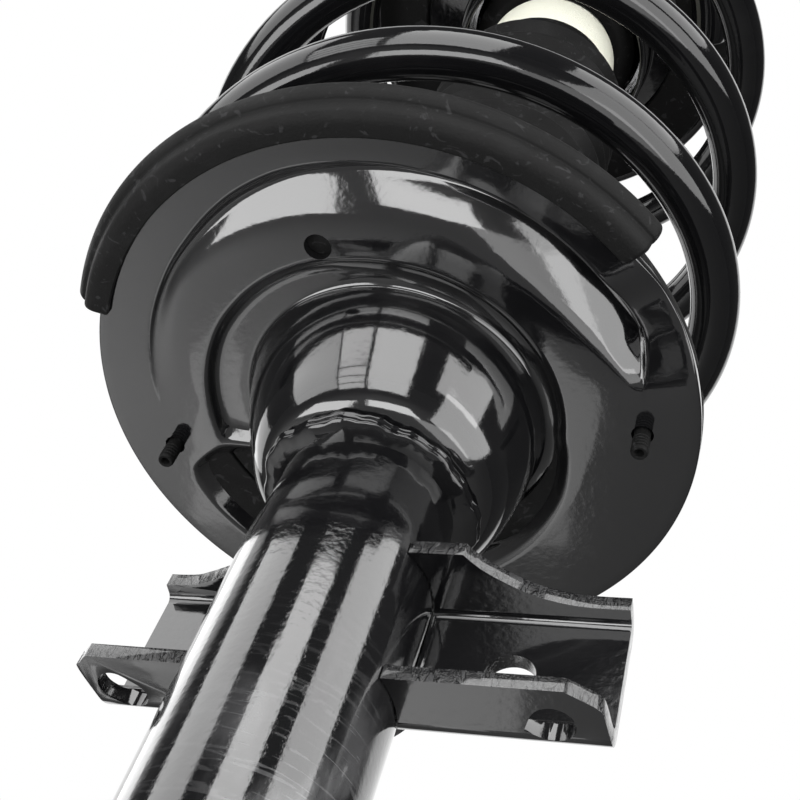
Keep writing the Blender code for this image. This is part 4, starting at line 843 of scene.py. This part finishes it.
def coil_line():
    """The wire's centre line: it rests on the lower seat, climbs ever faster and closes on the upper one, and
    its ends are drawn in."""
    base, climb, opening, softness = 0.0549, 0.0617, 0.0099, 0.0012
    first, open_end, rest = -0.875, 2.0, 0.15
    open_z = SEAT_Z + base + open_end * (climb + opening * open_end)
    open_climb = climb + 2.0 * opening * open_end
    closing = 2.0 * (UPPER_WIRE_Z - open_z) / open_climb
    last = open_end + closing + rest
    turns = np.linspace(first, last, round((last - first) * 150.0) + 1)
    free = SEAT_Z + base + turns * (climb + opening * turns) - LOWER_WIRE_Z
    rising = LOWER_WIRE_Z + softness * np.logaddexp(0.0, free / softness)
    late = np.clip(turns - open_end, 0.0, closing)
    falling_off = open_z + open_climb * (late - late * late / (2.0 * closing))
    height = np.where(turns < open_end, rising, falling_off)
    drawn = np.exp((first - turns) / 0.417) + np.exp((turns - last) / 0.417)
    radius = 0.0856 - 0.0186 * drawn
    angle = math.radians(-50.5) + TURN * turns
    return np.stack([SPRING[0] + radius * np.cos(angle), SPRING[1] + radius * np.sin(angle), height], axis=-1)


def make_spring():
    """One round wire: a circle carried along the coil line in a frame that stays level across the wire."""
    line = coil_line()
    along = np.gradient(line, axis=0)
    along /= np.linalg.norm(along, axis=1, keepdims=True)
    line = np.concatenate([[line[0] - 0.0006 * along[0]], line, [line[-1] + 0.0006 * along[-1]]])
    along = np.concatenate([along[:1], along, along[-1:]])
    level = np.cross(along, [0.0, 0.0, 1.0])
    level /= np.linalg.norm(level, axis=1, keepdims=True)
    upward = np.cross(level, along)
    turn = whole_turn(36)[:, None]
    radius = np.full(len(line), WIRE_R)
    radius[[0, -1]] = WIRE_R - 0.0007
    ring = level[:, None] * np.cos(turn) + upward[:, None] * np.sin(turn)
    wire = piece("spring_wire", skin(line[:, None] + radius[:, None, None] * ring, ring=False), sharp=50.0)
    dress(wire, "spring", "strut_body", "coil_spring")
    shorten(wire)


def make_boot():
    """The dust boot: pointed ribs and round valleys, turned round the strut axis."""
    ribs, rib_r, valley_r, collar_r, wall = 12, 0.036, 0.0315, 0.0285, 0.0013
    collar_z = BOOT_TOP_Z - 0.0114
    start = BOOT_FOOT_Z + 0.008
    pitch = (collar_z - 0.004 - start) / ribs
    foot_r = NECK_R + FIT
    outline = [(foot_r + 0.0016, BOOT_FOOT_Z, 0.0006), (foot_r + 0.0024, BOOT_FOOT_Z + 0.002, 0.0008),
               (foot_r + 0.0016, BOOT_FOOT_Z + 0.004, 0.001), (foot_r + 0.0016, start, 0.0015)]
    for index in range(ribs):
        middle = start + pitch * (index + 0.5)
        outline += [(rib_r - 0.0006, middle - 0.0009, 0.0006), (rib_r, middle, 0.0004),
                    (rib_r - 0.0006, middle + 0.0009, 0.0006),
                    (valley_r, start + pitch * (index + 1.0), 0.0016)]
    grip = 0.0238 + FIT
    outline += [(collar_r, collar_z, 0.0015), (collar_r, BOOT_TOP_Z, 0.0006), (grip, BOOT_TOP_Z, 0.0004),
                (grip, collar_z, 0.0004), (collar_r - 0.0016, collar_z - 0.0002, 0.0004)]
    for index in reversed(range(ribs)):
        outline += [(valley_r - wall, start + pitch * (index + 1.0), 0.0012),
                    (rib_r - 0.002, start + pitch * (index + 0.5), 0.0008)]
    outline = np.array(outline + [(foot_r, start, 0.0008), (foot_r, BOOT_FOOT_Z, 0.0004)])
    boot = turned("ribbed_boot", outline[:, :2], outline[:, 2], 144, sharp=60.0)
    dress(boot, "boot", "strut_body", "dust_boot")
    shorten(boot)


def make_bump_stop():
    """The foam stop: an outline with necks between its bulges, turned round the rod."""
    bore = 0.0103
    head = BUMP_TOP_Z - 0.028
    groove = head - 0.012
    length = groove - BUMP_TIP_Z
    below = 0.0252
    corners = [(0.0255, BUMP_TOP_Z), (0.027, BUMP_TOP_Z - 0.003), (0.027, head), (0.0238, head),
               (0.0238, groove), (below, groove), (below, groove - length * 0.3),
               (below - 0.004, groove - length * 0.42), (below - 0.001, groove - length * 0.56),
               (below - 0.005, groove - length * 0.72), (below - 0.004, groove - length * 0.84),
               (0.017, BUMP_TIP_Z), (bore + 0.0012, BUMP_TIP_Z), (bore, BUMP_TIP_Z + 0.0012),
               (bore, BUMP_TOP_Z)]
    size = [0.001, 0.002, 0.001, 0.0004, 0.0004, 0.0008, 0.003, 0.002, 0.003, 0.002, 0.002,
            0.002, 0.0006, 0.0006, 0.0006]
    stop = turned("foam_bump_stop", corners, size, 120, steps=5)
    dress(stop, "foam", "top_mount", "bump_stop")


# ---------- upper seat, bearing and mount

def make_upper_seat():
    """The upper dish: a hub on the strut axis, and a flat and a lip round the spring's centre."""
    sheet, rim = UPPER_SHEET, 0.08
    low, top = UPPER_SEAT_Z - 0.018, UPPER_SEAT_Z + sheet
    nodes = [(HUB_R - sheet, low, 0.0), (HUB_R, low, 0.0), (HUB_R, UPPER_SEAT_Z, 0.0),
             (0.0525, UPPER_SEAT_Z, 0.4), (0.055, UPPER_SEAT_Z, 1.0), (rim, UPPER_SEAT_Z, 1.0),
             (rim, top + 0.006, 1.0), (rim - sheet, top + 0.006, 1.0), (rim - sheet, top, 1.0),
             (0.055, top, 1.0), (0.051, top, 0.4), (HUB_R - sheet, top, 0.0)]
    size = [0.0008, 0.0008, 0.0022, 0.002, 0.002, 0.0032, 0.0008, 0.0008, 0.001, 0.002, 0.002, 0.003]
    dish = turned("upper_dish", nodes, size, 240, SPRING, steps=5)
    dress(dish, "paint", "upper_seat", "upper_spring_seat")
    top = UPPER_SEAT_Z - FIT
    pad = turned("upper_rubber", rectangle(0.054, 0.0755, top - 0.003, top), 0.0008, 160, SPRING)
    dress(pad, "rubber", "upper_seat", "upper_insulator")


def make_bearing():
    """Two grooved races and the ring of balls between them."""
    inner, outer, middle = 0.036, 0.048, 0.042
    half, deep = BALL_R * 0.95, BALL_R * 0.55
    bottom, top = UPPER_SEAT_Z + UPPER_SHEET + FIT, HOUSING_Z - FIT
    ball_z = bottom + RACE_SHEET + BALL_R - deep + FIT
    for name, flat, grooved, body, node in (
            ("grooved_race_low", bottom, bottom + RACE_SHEET, "upper_seat", "lower_race"),
            ("grooved_race_high", top, top - RACE_SHEET, "top_mount", "upper_race")):
        floor = grooved - math.copysign(deep, grooved - flat)
        corners = [(outer, flat), (outer, grooved), (middle + half, grooved), (middle + half * 0.55, floor),
                   (middle - half * 0.55, floor), (middle - half, grooved), (inner, grooved), (inner, flat)]
        race = turned(name, corners, [0.0005, 0.0005, 0.0002, 0.0012, 0.0012, 0.0002, 0.0005, 0.0005], 144)
        dress(race, "race", body, node)
    sphere = arc((0.0, ball_z), BALL_R, -QUARTER, QUARTER, 16)
    places = arc((0.0, 0.0), middle, math.radians(4.0), math.radians(334.0), 11)
    balls = piece("bearing_balls", *[skin(around(sphere, 28, place)) for place in places], sharp=60.0)
    dress(balls, "chrome", "ball_cage", *["ball_%02d" % (index + 1) for index in range(12)])


def make_mount():
    """The pressed housing with an ear at each stud, its rubber, and the sleeve on the rod."""
    crown, wall, mouth = 0.04, 0.003, 0.026
    body_r, ear_margin, ear_spread = 0.055, 0.0085, math.radians(17.0)
    count = 300
    away = (whole_turn(count)[:, None] - STUD_ANGLES + math.pi) % TURN - math.pi
    ears = np.exp(-(away / ear_spread) ** 2).sum(axis=1)
    reach = body_r + (STUD_CIRCLE_R + ear_margin - body_r) * ears
    lip = CROWN_TOP_Z - wall
    section = sections([(crown - wall, HOUSING_Z), (reach, HOUSING_Z), (reach, HOUSING_TOP_Z),
                        (crown, HOUSING_TOP_Z), (crown, CROWN_TOP_Z), (mouth, CROWN_TOP_Z), (mouth, lip),
                        (crown - wall, lip)])
    section = rounded(section, [0.0005, 0.0008, 0.0008, 0.0025, 0.0035, 0.0008, 0.0008, 0.0015], 5)
    housing = piece("pressed_housing", skin(around(section, count)))
    combine(housing, [peg(place, 0.0043, HOUSING_Z - 0.002, HOUSING_TOP_Z + 0.002) for place in STUD_PLACES])
    dress(housing, "paint", "top_mount", "mount_housing")

    sleeve_r, flange_r, flange = 0.0145, 0.025, 0.0035
    rubber_out = crown - wall - FIT
    rubber_top = lip - FIT
    low = SLEEVE_Z + flange + FIT
    boss = HUB_R - UPPER_SHEET - 0.003
    corners = [(boss - 0.006, low), (boss, low + 0.004), (boss - 0.0035, UPPER_SEAT_Z + 0.001),
               (0.034, HOUSING_Z - 0.001), (rubber_out, HOUSING_Z + 0.003), (rubber_out, rubber_top),
               (mouth - 0.001, rubber_top), (mouth - 0.0015, rubber_top + 0.003),
               (0.02, rubber_top + 0.0012), (0.0165, rubber_top + 0.0026),
               (sleeve_r + FIT, rubber_top + 0.001), (sleeve_r + FIT, low)]
    dress(turned("moulded_mount", corners, 0.0012, 144, steps=4), "rubber", "top_mount", "mount_rubber")
    corners = [(flange_r, SLEEVE_Z), (flange_r, SLEEVE_Z + flange), (sleeve_r, SLEEVE_Z + flange),
               (sleeve_r, SLEEVE_TOP_Z), (0.0103, SLEEVE_TOP_Z), (0.0103, SLEEVE_Z)]
    dress(turned("flanged_sleeve", corners, 0.0005, 96), "zinc", "top_mount", "mount_sleeve")


def threaded(radius, pitch, bottom, top, sides, before, after):
    """A section for each angle: fixed corners, the side of a thread, and more fixed corners. The side dips by
    a flattened wave whose phase turns once per pitch, fades in at the bottom and is chamfered at the top."""
    height = np.linspace(bottom, top, round((top - bottom) / pitch * 8.0) + 1)[None, :]
    angle = whole_turn(sides)[:, None]
    wave = 0.5 - 0.5 * np.cos(TURN * (height / pitch) - angle)
    depth = 0.54 * pitch * smooth((height - bottom) / pitch) * np.clip(1.25 * wave - 0.1, 0.0, 1.0)
    tip = np.clip(height - (top - 0.0012), 0.0, 1.0)
    side = np.minimum(radius - depth, radius - tip * 1.1)
    side = np.stack([side, np.broadcast_to(height, side.shape)], axis=-1)
    return np.concatenate([np.broadcast_to(before, (sides, len(before), 2)), side,
                           np.broadcast_to(after, (sides, len(after), 2))], axis=1)


def hex_nut(name, place, flat, bore, bottom, height):
    """A hexagonal nut: the section reaches to the hexagon's side, and a cone trims its corners."""
    angle = whole_turn(144)
    side = flat / np.cos(angle % (math.pi / 3.0) - math.pi / 6.0)
    top = bottom + height
    face_r = flat * 0.95
    over = (side - face_r) * 0.58
    section = sections([(bore + 0.0007, bottom), (face_r, bottom), (side, bottom + over), (side, top - over),
                        (face_r, top), (bore + 0.0008, top), (bore, top - 0.0008), (bore, bottom + 0.0007)])
    return piece(name, skin(around(rounded(section, 0.0003, 3), angle, place)), sharp=30.0)


def make_fasteners():
    """The studs with their nuts, and the rod with its threads, washer and nut."""
    head = HOUSING_Z - FIT
    tip = HOUSING_TOP_Z + 0.026
    for number, place in enumerate(STUD_PLACES, 1):
        section = threaded(0.004, 0.00125, head + 0.004, tip, 40,
                           [(0.0, head - 0.0024), (0.0058, head - 0.0024), (0.0065, head - 0.0018),
                            (0.0065, head), (0.004, head)], [(0.0, tip)])
        stud = piece("threaded_stud_%d" % number, skin(around(section, 40, place)))
        dress(stud, "zinc", "top_mount", "stud_%d" % number)
        nut = hex_nut("hex_nut_%d" % number, place, 0.0065, 0.0041, HOUSING_TOP_Z + FIT, 0.008)
        dress(nut, "zinc", "top_mount", "stud_nut_%d" % number)
    washer_z = SLEEVE_TOP_Z + 2.0 * FIT
    washer = rectangle(0.019, 0.0073, washer_z, washer_z + 0.0027)
    dress(turned("turned_washer", washer, 0.0004, 96), "zinc", "top_mount", "rod_washer")
    nut = hex_nut("rod_hex_nut", (0.0, 0.0), 0.011, 0.0073, washer_z + 0.003, 0.012)
    dress(nut, "zinc", "top_mount", "rod_nut")

    low, high = [corner[2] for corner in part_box("piston_rod")]
    step = SLEEVE_TOP_Z + FIT
    stem_top = 0.1887
    section = threaded(0.007, 0.0015, step, high, 64,
                       [(0.0, low), (0.0056, low), (0.006, low + 0.0004), (0.006, stem_top),
                        (0.0096, stem_top), (0.01, stem_top + 0.0004), (0.01, step - 0.0004),
                        (0.0096, step), (0.007, step)], [(0.0, high)])
    dress(piece("threaded_rod", skin(around(section, 64))), "chrome", "top_mount", "piston_rod")


# ---------- everything

def finish_inner_nodes():
    """The solids that keep their own mesh get a material for their kind."""
    kinds = {
        "zinc": ("gland_ring", "bump_cap", "piston_nut"), "bronze": ("guide_bush",),
        "steel": ("pressure_cylinder", "foot_valve_disc", "rebound_stop"),
        "sintered": ("foot_valve", "rod_guide", "piston"), "rubber": ("rod_seal", "rebound_buffer"),
        "nylon": ("piston_band", "bearing_cage")}
    for kind, names in kinds.items():
        for name in names:
            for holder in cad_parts[name].material_slots:
                holder.material = FINISHES[kind].material


def build():
    """The whole strut with its camera, light and floor."""
    bpy.context.scene.view_settings.view_transform = "Standard"
    for step in (set_up_camera, set_up_light, set_up_sky, make_floor, make_tube, make_bracket,
                 make_seat_weld, make_lower_seat, make_lower_insulator, make_spring, make_boot,
                 make_bump_stop, make_upper_seat, make_bearing, make_mount, make_fasteners,
                 finish_inner_nodes):
        step()


build()
